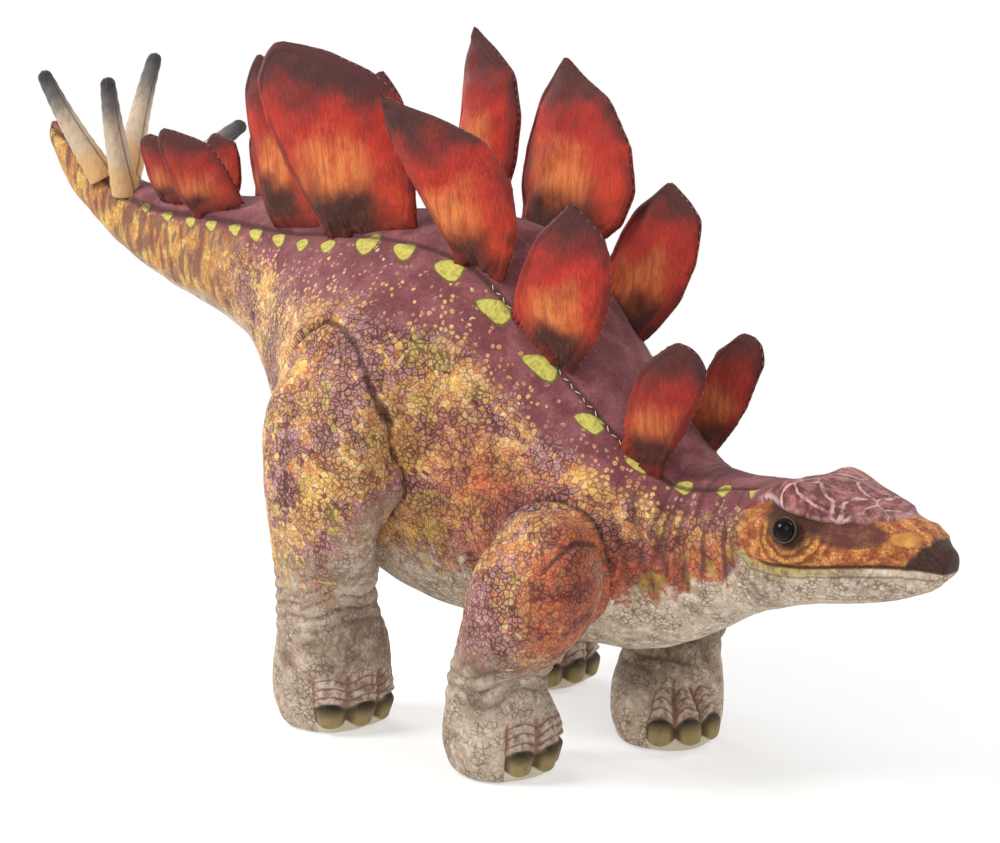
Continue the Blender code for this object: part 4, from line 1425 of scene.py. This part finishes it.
MAUVE, MAUVE_LIGHT, MAUVE_DARK = (114, 58, 62), (166, 102, 106), (70, 38, 44)
OUTLINE = (86, 44, 34)
OCHRE, CREAM, ORANGE = (208, 150, 84), (236, 200, 136), (198, 106, 56)
PURPLE, LILAC, LIME = (104, 52, 66), (164, 112, 128), (186, 180, 68)
RUST, FIRE = (160, 66, 34), (198, 82, 38)
BEIGE, BEIGE_CLOUD, CRACK = (202, 182, 157), (120, 96, 80), (84, 62, 50)
SPOT_LIME, SPOT_EDGE = (196, 186, 92), (104, 90, 44)
CELL_DENSITY = 530.0  # printed scales per metre
CRACKLE_DENSITY = 560.0  # and meshes of the pale parts' network


def scale_pattern(g, rest, red):
    """Printed scales: pebbles of one colour each, stained dark in the gaps and by broad patches, with fine
    painted highlights of lit fuzz.
    """
    wandering = g.warped(g.warped(rest, 140.0, 0.0034), 900.0, 0.0010)
    cell = g.cells(wandering, CELL_DENSITY)
    outline = g.cell_edges(wandering, CELL_DENSITY)
    luck = g.node("SeparateColor")
    g.feed(luck.inputs[0], cell["Color"])
    first, second, third = luck.outputs[0], luck.outputs[1], luck.outputs[2]
    home = cell["Position"]
    colour = g.mix(g.step(first, 0.40, 0.90), OCHRE, CREAM)
    orange = g.add(g.times(second, 0.30), g.noise(home, 34.0, 2.0))
    colour = g.over(colour, ORANGE, g.step(orange, 0.60, 0.80))
    purple = g.step(g.add(g.times(third, 0.16), g.noise(home, 48.0)), 0.555, 0.615)
    colour = g.over(colour, g.mix(g.step(first, 0.30, 0.85), PURPLE, LILAC), purple)
    slow = g.noise(home, 60.0, 2.0)
    colour = g.over(colour, LIME, g.step(g.add(g.times(second, 0.14), slow), 0.715, 0.745), 0.80)
    reds = g.mix(g.step(third, 0.3, 0.8), RUST, FIRE)
    colour = g.over(colour, reds, red, g.step(g.add(g.times(first, 0.5), slow), 0.40, 0.80), 0.90)
    ring = g.times(g.step(outline, 0.10, 0.20), g.step(outline, 0.40, 0.24))
    colour = g.over(colour, (248, 220, 166), ring, g.add(0.34, g.times(red, -0.20)))
    colour = g.over(colour, (150, 84, 62), g.step(cell["Distance"], 0.32, 0.04), 0.34)
    colour = g.over(colour, (112, 60, 42), g.patches(rest, 1500.0, 0.42, 0.64, 4.0, 0.75), 0.55)
    # painted highlight: fine pale specks that stand in for lit fuzz on the pile
    lit_fuzz_highlight = g.patches(rest, 1900.0, 0.52, 0.68, 3.0, 0.75)
    colour = g.over(colour, (250, 216, 168), lit_fuzz_highlight, g.add(0.30, g.times(red, -0.12)))
    stain = g.patches(rest, 85.0, 0.40, 0.62, 4.0, 0.68)
    colour = g.over(colour, (92, 44, 42), stain, g.add(0.34, g.times(red, 0.26)))
    glints = g.times(g.patches(rest, 70.0, 0.50, 0.68), g.inverse(red), g.inverse(purple))
    colour = g.over(colour, (246, 208, 112), glints, 0.52)
    thickness = g.add(0.10, g.times(stain, 0.10))
    line = g.step(g.math("DIVIDE", outline, thickness), 1.0, 0.10)
    line = g.times(line, g.add(0.34, g.times(stain, 0.40)))
    return g.mix(line, colour, g.mix(stain, OUTLINE, (64, 28, 32))), first, line


def crackle(g, rest):
    """Pale fabric with a fine brown network and broad brown clouds, lightened in patches by painted
    highlights.
    """
    wandering = g.warped(g.warped(rest, 200.0, 0.0030), 1200.0, 0.0006)
    colour = g.mix(g.times(g.patches(rest, 46.0, 0.44, 0.68, 5.0, 0.66), 0.80), BEIGE, BEIGE_CLOUD)
    colour = g.over(colour, BEIGE_CLOUD, g.patches(rest, 1300.0, 0.42, 0.64, 4.0, 0.75), 0.42)
    # painted highlights: the next two lines lay pale patches, fine and broad, where the pile catches light
    colour = g.over(colour, (242, 230, 212), g.patches(rest, 380.0, 0.45, 0.72), 0.55)
    colour = g.over(colour, (226, 212, 192), g.patches(rest, 34.0, 0.46, 0.66, 2.0), 0.40)
    strength = g.patches(rest, 160.0, 0.36, 0.62)
    thickness = g.add(0.07, g.times(strength, 0.10))
    line = g.step(g.math("DIVIDE", g.cell_edges(wandering, CRACKLE_DENSITY), thickness), 1.0, 0.05)
    return g.over(colour, CRACK, line, g.add(g.times(strength, 0.56), 0.18))


def back_print(g, rest):
    """Plain mauve with a soft nap."""
    colour = g.mix(g.times(g.patches(rest, 130.0, 0.35, 0.7), 0.55), MAUVE, MAUVE_LIGHT)
    hairs = g.patches(g.scaled(rest, (0.5, 1.0, 1.0)), 1500.0, 0.44, 0.64, 4.0, 0.75)
    return g.over(colour, MAUVE_DARK, hairs, 0.52)


def flank_print(g, rest, back, scales, luck, line, below):
    """Loose dots in the mauve of the back, thickening into closed scales further down."""
    ease = g.add(below, g.wander(rest, 55.0, 0.20, 2.0))
    dense = g.step(ease, -0.05, 0.27)
    shown = g.step(g.less(g.add(dense, g.times(luck, 0.60)), 0.60), -0.02, 0.03)
    shown = g.times(shown, g.step(dense, 0.01, 0.05))
    dot = g.cells(g.warped(rest, 140.0, 0.0026), CELL_DENSITY)["Distance"]
    sparse = g.step(dense, 0.80, 0.40)
    shown = g.times(shown, g.most(g.step(dot, 0.44, 0.34), g.inverse(sparse)))
    between = g.mix(g.patches(rest, 210.0, 0.4, 0.65, 2.0), PURPLE, LILAC)
    colour = g.over(back, between, g.step(ease, 0.04, 0.26), 0.50)
    colour = g.over(colour, MAUVE_DARK, line, g.step(ease, 0.06, 0.2), 0.6)
    return g.mix(shown, colour, scales)


def tail_print(g, rest, colour, line, where):
    """The tail's ochre ground with dark upright streaks."""
    streaks = g.patches(g.scaled(rest, (1.0, 0.5, 0.35)), 260.0, 0.45, 0.60)
    ochre = g.mix(g.patches(rest, 150.0, 0.4, 0.7), (188, 130, 70), (222, 184, 96))
    ochre = g.over(ochre, (98, 56, 58), streaks, 0.78)
    ochre = g.over(ochre, (112, 70, 46), g.patches(rest, 900.0, 0.44, 0.66, 4.0, 0.7), 0.45)
    return g.mix(where, colour, g.over(ochre, OUTLINE, line, 0.45))


def neck_print(g, rest, colour, below, where):
    """Dapples of lime and purple low on the neck, and painted shade as dark upright streaks in the folds."""
    dapple = g.noise(g.scaled(rest, (1.0, 0.4, 0.8)), 170.0)
    lower = g.times(where, g.step(below, 0.28, 0.45))
    colour = g.over(colour, (170, 156, 70), lower, g.step(dapple, 0.54, 0.64), 0.60)
    colour = g.over(colour, (128, 88, 104), lower, g.step(dapple, 0.46, 0.38), 0.55)
    # painted shade: dark upright streaks that stand for shadow in the neck's folds
    upright = g.scaled(g.warped(rest, 60.0, 0.004), (1.0, 0.12, 0.12))
    return g.over(colour, (78, 40, 40), where, g.patches(upright, 330.0, 0.48, 0.64, 2.0), 0.74)


def pale_print(g, rest, reach, on_leg, z):
    """The pale parts: browner on the legs, at the ankles and along the border of the print."""
    ankle = g.times(on_leg, g.step(z, 0.016, 0.028), g.step(z, 0.052, 0.036))
    pale = g.over(crackle(g, rest), (92, 66, 50), on_leg, 0.20)
    pale = g.over(pale, (92, 66, 54), ankle, g.patches(rest, 70.0, 0.42, 0.62, 4.0, 0.6), 0.68)
    inner = g.mix(g.patches(rest, 60.0, 0.35, 0.65), (152, 106, 66), (110, 70, 56))
    border = g.times(g.step(reach, 1.10, 0.30), g.step(reach, -1.0, 0.2))
    return g.over(pale, inner, border, on_leg, 0.55)


def skin_material():
    """The printed plush of the whole body, with painted shade and painted highlights, from the fields stored
    on its vertices.
    """
    g = Graph("printed_plush")
    rest = g.node("Attribute", attribute_name="rest").outputs["Vector"]
    x, _, z = g.parts(rest)
    below, red, on_leg = g.number("below"), g.number("red"), g.number("on_leg")
    off_leg = g.inverse(on_leg)
    scales, luck, line = scale_pattern(g, rest, red)
    back = back_print(g, rest)
    colour = flank_print(g, rest, back, scales, luck, line, below)
    tail = g.times(g.step(x, -0.060, -0.100), g.step(below, -0.02, 0.10), off_leg)
    colour = tail_print(g, rest, colour, line, tail)
    neck = g.times(g.step(x, 0.100, 0.112), g.step(x, 0.146, 0.134), off_leg)
    colour = neck_print(g, rest, colour, below, neck)
    # the print runs over the pale parts' edge in drips
    reach = g.add(g.number("printed"), g.wander(g.scaled(rest, (1.0, 0.5, 0.18)), 190.0, 2.4))
    reach = g.add(reach, g.times(g.less(luck, 0.5), 0.9))
    pale = pale_print(g, rest, reach, on_leg, z)
    colour = g.mix(g.step(reach, 0.55, -0.35), colour, pale)
    colour = spots(g, rest, colour)
    colour = head_print(g, rest, colour, pale, back)
    colour = foot_print(g, rest, colour, z)
    # painted shade: darker brown laid into the wrinkles of the neck and the ankles
    colour = g.over(colour, (74, 48, 38), g.number("crease"), 0.72)
    colour = g.over(colour, (54, 28, 28), g.step(g.number("seam"), 0.0012, 0.0003), 0.74)
    normal = g.bump(g.noise(rest, 2600.0, 3.0, 0.7), 0.60, 0.0004)
    normal = g.bump(g.noise(rest, 900.0, 2.0), 0.50, 0.0006, normal)
    return g.finish(colour, 0.88, normal, sheen=0.10, tint=(250, 236, 232))


def spots(g, rest, colour):
    """The row of lime spots, each with a darker edge."""
    spot = g.add(g.number("spot"), g.wander(rest, 420.0, 0.22, 2.0))
    inside = g.mix(g.patches(rest, 700.0, 0.4, 0.7), SPOT_LIME, (160, 150, 70))
    colour = g.mix(g.step(spot, -0.10, -0.02), colour, SPOT_EDGE)
    return g.mix(g.step(spot, 0.03, 0.12), colour, inside)


def cheek_print(g, rest, x, z, wander):
    """Orange cheek with painted shade and painted highlight on the folds round the eye, painted shade round
    the eye, and a dark patch in front of it.
    """
    eye = g.number("eye")
    cheek = g.mix(g.patches(g.scaled(rest, (0.5, 1, 1)), 330.0, 0.38, 0.66), (158, 84, 42), (226, 156, 88))
    rings = g.math("SINE", g.add(g.times(eye, 2300.0), g.times(g.noise(rest, 300.0, 2.0), 5.0)))
    folded = g.times(g.step(eye, 0.0150, 0.0090), g.step(eye, 0.0052, 0.0068))
    folded = g.times(folded, g.step(z, 0.0915, 0.0865))
    # painted shade and painted highlight: alternating darker and lighter bands of the orange on the folds
    # round the eye
    cheek = g.over(cheek, (120, 58, 24), g.step(rings, 0.1, 0.9), folded, 0.85)
    cheek = g.over(cheek, (224, 176, 84), g.step(rings, -0.2, -0.9), folded, 0.6)
    network = g.cell_edges(g.warped(rest, 400.0, 0.001), 900.0)
    cheek = g.over(cheek, (98, 48, 30), g.step(network, 0.14, 0.02), 0.55)
    grain = g.patches(g.scaled(rest, (0.6, 1, 1)), 700.0, 0.44, 0.66, 4.0, 0.7)
    cheek = g.over(cheek, (98, 48, 32), grain, 0.72)
    above_eye = g.times(g.step(z, 0.0850, 0.0920), 0.0040)
    shade = g.step(g.less(g.add(eye, wander), above_eye), 0.0090, 0.0046)
    cheek = g.over(cheek, (52, 30, 24), shade, 0.86)
    patch = g.add(g.oval(x, z, (0.1765, 0.0893), (0.0105, 0.0040)), g.times(wander, 160.0))
    return g.over(cheek, (78, 44, 44), g.step(patch, 1.25, 0.55), 0.80)


def side_of_head(g, rest, x, z, wander, mouth, pale):
    """Cheek over a lime and pale jaw, with the lips, the nostril and the dark beak."""
    cheek = cheek_print(g, rest, x, z, wander)
    lime_jaw = g.mix(g.patches(rest, 500.0, 0.4, 0.62), (170, 154, 84), (120, 96, 52))
    high = g.step(g.add(mouth, g.times(wander, 1.6)), -0.0050, -0.0010)
    jaw = g.over(pale, lime_jaw, high, 0.8)
    jaw = g.mix(g.step(x, 0.166, 0.184), jaw, pale)
    side = g.mix(g.step(mouth, -0.0012, 0.0002), jaw, cheek)
    lips = g.near_zero(g.add(mouth, g.times(wander, 0.15)), 0.0009, 0.0002)
    side = g.over(side, (58, 30, 24), lips, g.step(x, 0.146, 0.150), 0.85)
    fold = g.near_zero(g.add(g.add(mouth, 0.0030), g.times(wander, 0.6)), 0.0006, 0.0001)
    side = g.over(side, (96, 66, 40), fold, 0.55)
    nostril = g.oval(x, z, (NOSTRIL[0], NOSTRIL[1] + 0.0004), (0.0042, 0.0018))
    side = g.over(side, (206, 148, 72), g.step(g.add(nostril, g.times(wander, 300.0)), 1.1, 0.4), 0.65)
    beak = g.add(g.add(x, g.times(g.less(z, 0.085), -0.60)), g.times(wander, 1.5))
    beak = g.times(g.step(beak, 0.1925, 0.1950), g.step(g.add(z, wander), 0.0905, 0.0885))
    beak_tone = g.mix(g.patches(rest, 900.0, 0.4, 0.65), (56, 36, 30), (74, 48, 40))
    return g.over(side, beak_tone, beak, g.step(mouth, -0.0014, 0.0004))


def crown_print(g, rest, x, wander, brow, back):
    """Mauve crown with pale veins and a pale edge over the brow, browner at the snout."""
    veins = g.cell_edges(g.warped(g.warped(rest, 90.0, 0.0065), 500.0, 0.0012), 72.0)
    crown = g.mix(g.patches(rest, 240.0, 0.4, 0.64, 4.0, 0.7), (104, 52, 52), (170, 112, 108))
    streak = g.patches(g.scaled(rest, (0.25, 1, 1)), 900.0, 0.46, 0.66, 2.0)
    crown = g.over(crown, MAUVE_DARK, streak, 0.55)
    crown = g.over(crown, MAUVE_DARK, g.step(veins, 0.065, 0.03), 0.30)
    faded = g.patches(rest, 300.0, 0.32, 0.58)
    crown = g.over(crown, (220, 178, 172), g.step(veins, 0.036, 0.010), faded, 0.72)
    ridge = g.near_zero(g.less(brow, 0.0006), 0.0009, 0.0001)
    ridge = g.times(ridge, g.add(0.25, g.times(g.step(x, 0.160, 0.148), 0.45)))
    crown = g.over(crown, (226, 194, 192), ridge, g.patches(rest, 500.0, 0.4, 0.6, 2.0))
    snout = g.mix(g.patches(rest, 300.0, 0.4, 0.6), (150, 84, 48), (96, 56, 52))
    crown = g.mix(g.step(g.add(x, wander), 0.1900, 0.1965), crown, snout)
    return g.mix(g.step(x, 0.1470, 0.1420), crown, back)


def head_print(g, rest, colour, pale, back):
    """Veined crown above the brow, the side of the head below it, and pale under the jaw."""
    x, _, z = g.parts(rest)
    brow, mouth = g.number("brow"), g.number("mouth")
    wander = g.wander(rest, 260.0, 0.0030)
    side = side_of_head(g, rest, x, z, wander, mouth, pale)
    crown = crown_print(g, rest, x, wander, brow, back)
    face = g.mix(g.step(g.add(brow, g.times(wander, 0.3)), -0.0003, 0.0003), side, crown)
    face = g.mix(g.step(g.add(mouth, g.times(wander, 2.0)), -0.0105, -0.0065), pale, face)
    return g.mix(g.step(g.add(x, g.times(wander, 2.0)), 0.1375, 0.1425), colour, face)


def foot_print(g, rest, colour, z):
    """Olive claws under banded knuckles, painted darker towards their top as shade under the knuckles, with
    dark lines between the toes.
    """
    toe, on_toes = g.number("toe"), g.number("on_toes")
    from_middle = g.math("ABSOLUTE", g.less(toe, g.math("ROUND", toe)))
    height = g.add(z, g.wander(rest, 500.0, 0.0016, 2.0))
    height = g.add(height, g.times(from_middle, from_middle, 0.011))
    knuckles = g.mix(g.patches(rest, 500.0, 0.36, 0.66, 4.0), (190, 170, 152), (134, 108, 96))
    bands = g.math("SINE", g.add(g.times(height, 2250.0), 1.0))
    knuckles = g.over(knuckles, (104, 72, 58), g.step(bands, 0.50, 0.97), 0.75)
    knuckles = g.over(knuckles, (120, 80, 58), g.step(from_middle, 0.34, 0.47), 0.70)
    # painted shade: the claws darken towards their top, under the overhanging knuckles
    claws = g.mix(g.step(z, CLAW_TOP - 0.0055, CLAW_TOP - 0.0005), (146, 128, 84), (44, 36, 28))
    grooves = g.patches(g.scaled(rest, (1, 1, 0.3)), 700.0, 0.5, 0.7, 2.0)
    claws = g.over(claws, (96, 86, 60), grooves, 0.45)
    claws = g.over(claws, (66, 48, 36), g.step(from_middle, 0.26, 0.44), 0.8)
    toes = g.mix(g.step(height, CLAW_TOP - 0.0004, CLAW_TOP + 0.0006), claws, knuckles)
    toes = g.mix(g.step(g.add(z, g.times(from_middle, -0.004)), 0.0030, 0.0018), toes, (206, 194, 172))
    border = g.step(g.math("ABSOLUTE", toe), 1.30, 1.44)
    above_claws = g.step(z, CLAW_TOP - 0.001, CLAW_TOP + 0.001)
    toes = g.over(toes, (140, 84, 48), border, above_claws, 0.6)
    inside = g.step(g.add(on_toes, g.wander(rest, 300.0, 0.3, 2.0)), 0.35, 0.65)
    return g.mix(inside, colour, toes)


def plate_material():
    """Short fur, maroon at the tip, fiery below, glowing low in the middle, dark at the root."""
    g = Graph("plate_plush")
    rest, nap = (g.node("Attribute", attribute_name=name).outputs["Vector"] for name in ("rest", "nap"))
    height, across, edge = g.number("height"), g.number("across"), g.number("edge")
    fur = g.noise(g.warped(nap, 160.0, 0.0035), 2100.0, 4.0, 0.7)
    blotch = g.noise(rest, 75.0)
    level = g.add(height, g.times(g.less(blotch, 0.5), 0.46))
    level = g.add(level, g.times(g.less(fur, 0.5), 0.12))
    colour = g.mix(g.step(level, 0.20, 0.62), (190, 58, 32), (176, 40, 26))
    colour = g.over(colour, (118, 34, 28), g.patches(rest, 130.0, 0.42, 0.62), 0.40)
    middle = g.times(across, across)
    glow = g.times(g.near_zero(g.less(level, 0.36), 0.24, 0.02), g.step(middle, 0.40, 0.0))
    streak = g.patches(g.scaled(nap, (1.0, 0.6, 1.0)), 420.0, 0.36, 0.60)
    colour = g.over(colour, (222, 140, 72), glow, g.add(0.30, g.times(streak, 0.40)))
    colour = g.over(colour, (66, 34, 34), g.step(level, 0.57, 0.90))
    calm = g.add(height, g.times(g.less(blotch, 0.5), 0.24))
    root = g.times(g.step(calm, 0.36, 0.20), g.step(middle, 0.55, 0.06))
    colour = g.over(colour, (40, 22, 18), root, 0.95)
    # painted shade: the smaller plates darkened
    colour = g.over(colour, (84, 26, 20), g.number("dusk"), 0.30)
    colour = g.over(colour, (60, 28, 24), g.step(level, 0.16, 0.04), 0.6)
    colour = g.over(colour, (74, 26, 22), g.step(fur, 0.46, 0.70), 0.42)
    lit = g.times(g.step(fur, 0.48, 0.28), g.add(0.05, g.times(g.step(level, 0.74, 0.54), 0.09)))
    colour = g.over(colour, (226, 132, 96), lit)
    edge_tone = g.mix(g.step(level, 0.56, 0.80), (120, 34, 26), (74, 34, 34))
    colour = g.over(colour, edge_tone, g.step(edge, 0.0048, 0.0012), g.step(blotch, 0.35, 0.6))
    inset = g.near_zero(g.less(edge, INSET_SEAM), 0.0008, 0.0002)
    colour = g.over(colour, (64, 22, 20), inset, g.step(height, 0.05, 0.15), 0.14)
    seam = g.near_zero(g.number("through"), 0.0006, 0.0002)
    colour = g.over(colour, (52, 18, 16), seam, g.step(edge, 0.0018, 0.0008), 0.8)
    normal = g.bump(fur, 0.55, 0.0009)
    normal = g.bump(g.noise(rest, 2400.0, 2.0), 0.3, 0.0003, normal)
    return g.finish(colour, 0.82, normal, sheen=0.12, tint=(255, 196, 176))


def spike_material():
    """Plush that runs from cream at the root through grey to charcoal at the tip."""
    g = Graph("spike_plush")
    rest = g.node("Attribute", attribute_name="rest").outputs["Vector"]
    hairs = g.noise(g.scaled(rest, (1, 1, 0.25)), 900.0)
    level = g.add(g.number("height"), g.times(g.less(hairs, 0.5), 0.22))
    colour = g.mix(g.step(level, 0.05, 0.28), (196, 154, 106), (188, 168, 144))
    colour = g.over(colour, (92, 90, 90), g.step(level, 0.42, 0.80))
    colour = g.over(colour, (48, 44, 44), g.step(level, 0.80, 0.98))
    colour = g.over(colour, (120, 112, 100), g.step(hairs, 0.5, 0.7), 0.35)
    colour = g.over(colour, (70, 64, 60), g.near_zero(g.number("turn"), 0.14, 0.04), 0.6)
    return g.finish(colour, 0.85, g.bump(hairs, 0.4, 0.0005), sheen=0.12, tint=(240, 240, 240))


def object_noise(g, scale):
    return g.noise(g.node("TexCoord").outputs["Object"], scale, 2.0)


def thread_material(name, light, dark):
    g = Graph(name)
    twist = object_noise(g, 4000.0)
    colour = g.mix(g.step(twist, 0.35, 0.65), light, dark)
    return g.finish(colour, 0.6, g.bump(twist, 0.3, 0.0001), sheen=0.2)


def eye_material():
    g = Graph("eye_gloss")
    haze = object_noise(g, 900.0)
    return g.finish(g.mix(haze, (10, 8, 8), (22, 16, 14)), g.add(0.03, g.times(haze, 0.03)), specular=0.14)


def rim_material():
    g = Graph("eye_rim")
    haze = object_noise(g, 700.0)
    return g.finish(g.mix(haze, (50, 42, 36), (86, 78, 68)), g.add(0.14, g.times(haze, 0.12)))


# ---------------------------------------------------------------- stage, lights and camera
FLOOR_HALF = 30.0
FLOOR_GLOW = 0.45  # least share of the floor's own white
SKY_LIGHT = 0.46  # strength of the white surroundings, which the camera itself sees at 1
WHITE, WARM_WHITE = (1.0, 1.0, 1.0), (1.0, 0.985, 0.96)
LIGHTS = (  # name, place, size, power, colour
    ("key", (-0.55, -1.00, 1.10), 0.6, 21.0, WARM_WHITE),
    ("front", (1.05, -0.75, 0.80), 0.9, 6.0, WHITE),
    ("back", (0.50, 1.10, 0.90), 0.8, 9.0, WHITE),
    ("edge", (-1.20, 0.30, 0.45), 0.7, 15.0, WHITE),
)


def floor_material():
    """White paper that takes the toy's shadow and, further out, shines evenly white."""
    g = Graph("floor_paper")
    place = g.node("TexCoord").outputs["Object"]
    speck = g.mix(g.noise(place, 40.0, 2.0), (251, 251, 250), (247, 247, 246))
    paper = g.set(g.node("BsdfPrincipled"), Base_Color=speck, Roughness=0.9, Specular_IOR_Level=0.1)
    away = g.node("VectorMath", operation="LENGTH")
    g.feed(away.inputs[0], place)
    blend, output = g.node("MixShader"), g.node("OutputMaterial")
    g.feed(blend.inputs[0], g.most(FLOOR_GLOW, g.step(away.outputs["Value"], 0.20, 0.36)))
    g.feed(blend.inputs[1], paper.outputs[0])
    g.feed(blend.inputs[2], g.node("Emission").outputs[0])
    g.feed(output.inputs["Surface"], blend.outputs[0])
    return g.material


def make_stage():
    corners = [(FLOOR_HALF * x, FLOOR_HALF * y, 0) for x, y in ((-1, -1), (1, -1), (1, 1), (-1, 1))]
    floor = new_object("floor", corners, [(0, 1, 2, 3)])
    floor.data.materials.append(floor_material())


def aimed(name, data, place, way):
    """An object of the scene at a place, looking along way."""
    obj = bpy.data.objects.new(name, data)
    obj.location = place
    obj.rotation_mode = "QUATERNION"
    obj.rotation_quaternion = way.to_track_quat("-Z", "Y")
    bpy.context.scene.collection.objects.link(obj)
    return obj


def make_lights():
    world = bpy.data.worlds.new("studio")
    world.use_nodes = True
    nodes, links = world.node_tree.nodes, world.node_tree.links
    background = nodes["Background"]
    background.inputs["Color"].default_value = (1.0, 1.0, 1.0, 1.0)
    path, strength = nodes.new("ShaderNodeLightPath"), nodes.new("ShaderNodeMapRange")
    strength.inputs["To Min"].default_value = SKY_LIGHT
    links.new(path.outputs["Is Camera Ray"], strength.inputs["Value"])
    links.new(strength.outputs[0], background.inputs["Strength"])
    bpy.context.scene.world = world
    for name, place, size, power, colour in LIGHTS:
        light = bpy.data.lights.new(name, "AREA")
        light.shape, light.size, light.energy, light.color = "SQUARE", size, power, colour
        aimed(name, light, place, Vector(CAMERA["target"]) - Vector(place))


def make_camera():
    data = bpy.data.cameras.new("camera")
    data.lens, data.sensor_width = CAMERA["lens"], 36.0
    data.clip_start, data.clip_end = 0.05, 20.0
    a, e = math.radians(CAMERA["azimuth"]), math.radians(CAMERA["elevation"])
    back = Vector((math.sin(a) * math.cos(e), -math.cos(a) * math.cos(e), math.sin(e)))
    place = Vector(CAMERA["target"]) + back * CAMERA["distance"]
    bpy.context.scene.camera = aimed("camera", data, place, -back)
    bpy.context.scene.view_settings.view_transform = "Standard"


def main():
    trunk = Trunk()
    legs = [Leg(name) for name in LEGS]
    skin = make_skin(trunk, legs)
    fields = Fields(skin, trunk, legs)
    shape_skin(skin, fields)
    print_and_shade_skin(skin, fields, trunk, legs)
    skin_tree = mesh_tree(skin)
    split_skin(skin, fields, legs, skin_material())
    plate_fabric = plate_material()
    rim_thread = thread_material("rim_thread", (188, 112, 92), (128, 56, 46))
    for name, (own, faces) in swollen_plates().items():
        make_plate(name, own, faces, plate_fabric, rim_thread, skin_tree)
    spike_fabric = spike_material()
    for name in SPIKES:
        make_spike(name, spike_fabric)
    gloss, rim = eye_material(), rim_material()
    for side in ("right", "left"):
        make_eye(side, gloss, rim)
    make_back_stitches(skin_tree, thread_material("pale_thread", (232, 212, 196), (196, 158, 142)))
    make_stage()
    make_lights()
    make_camera()


main()
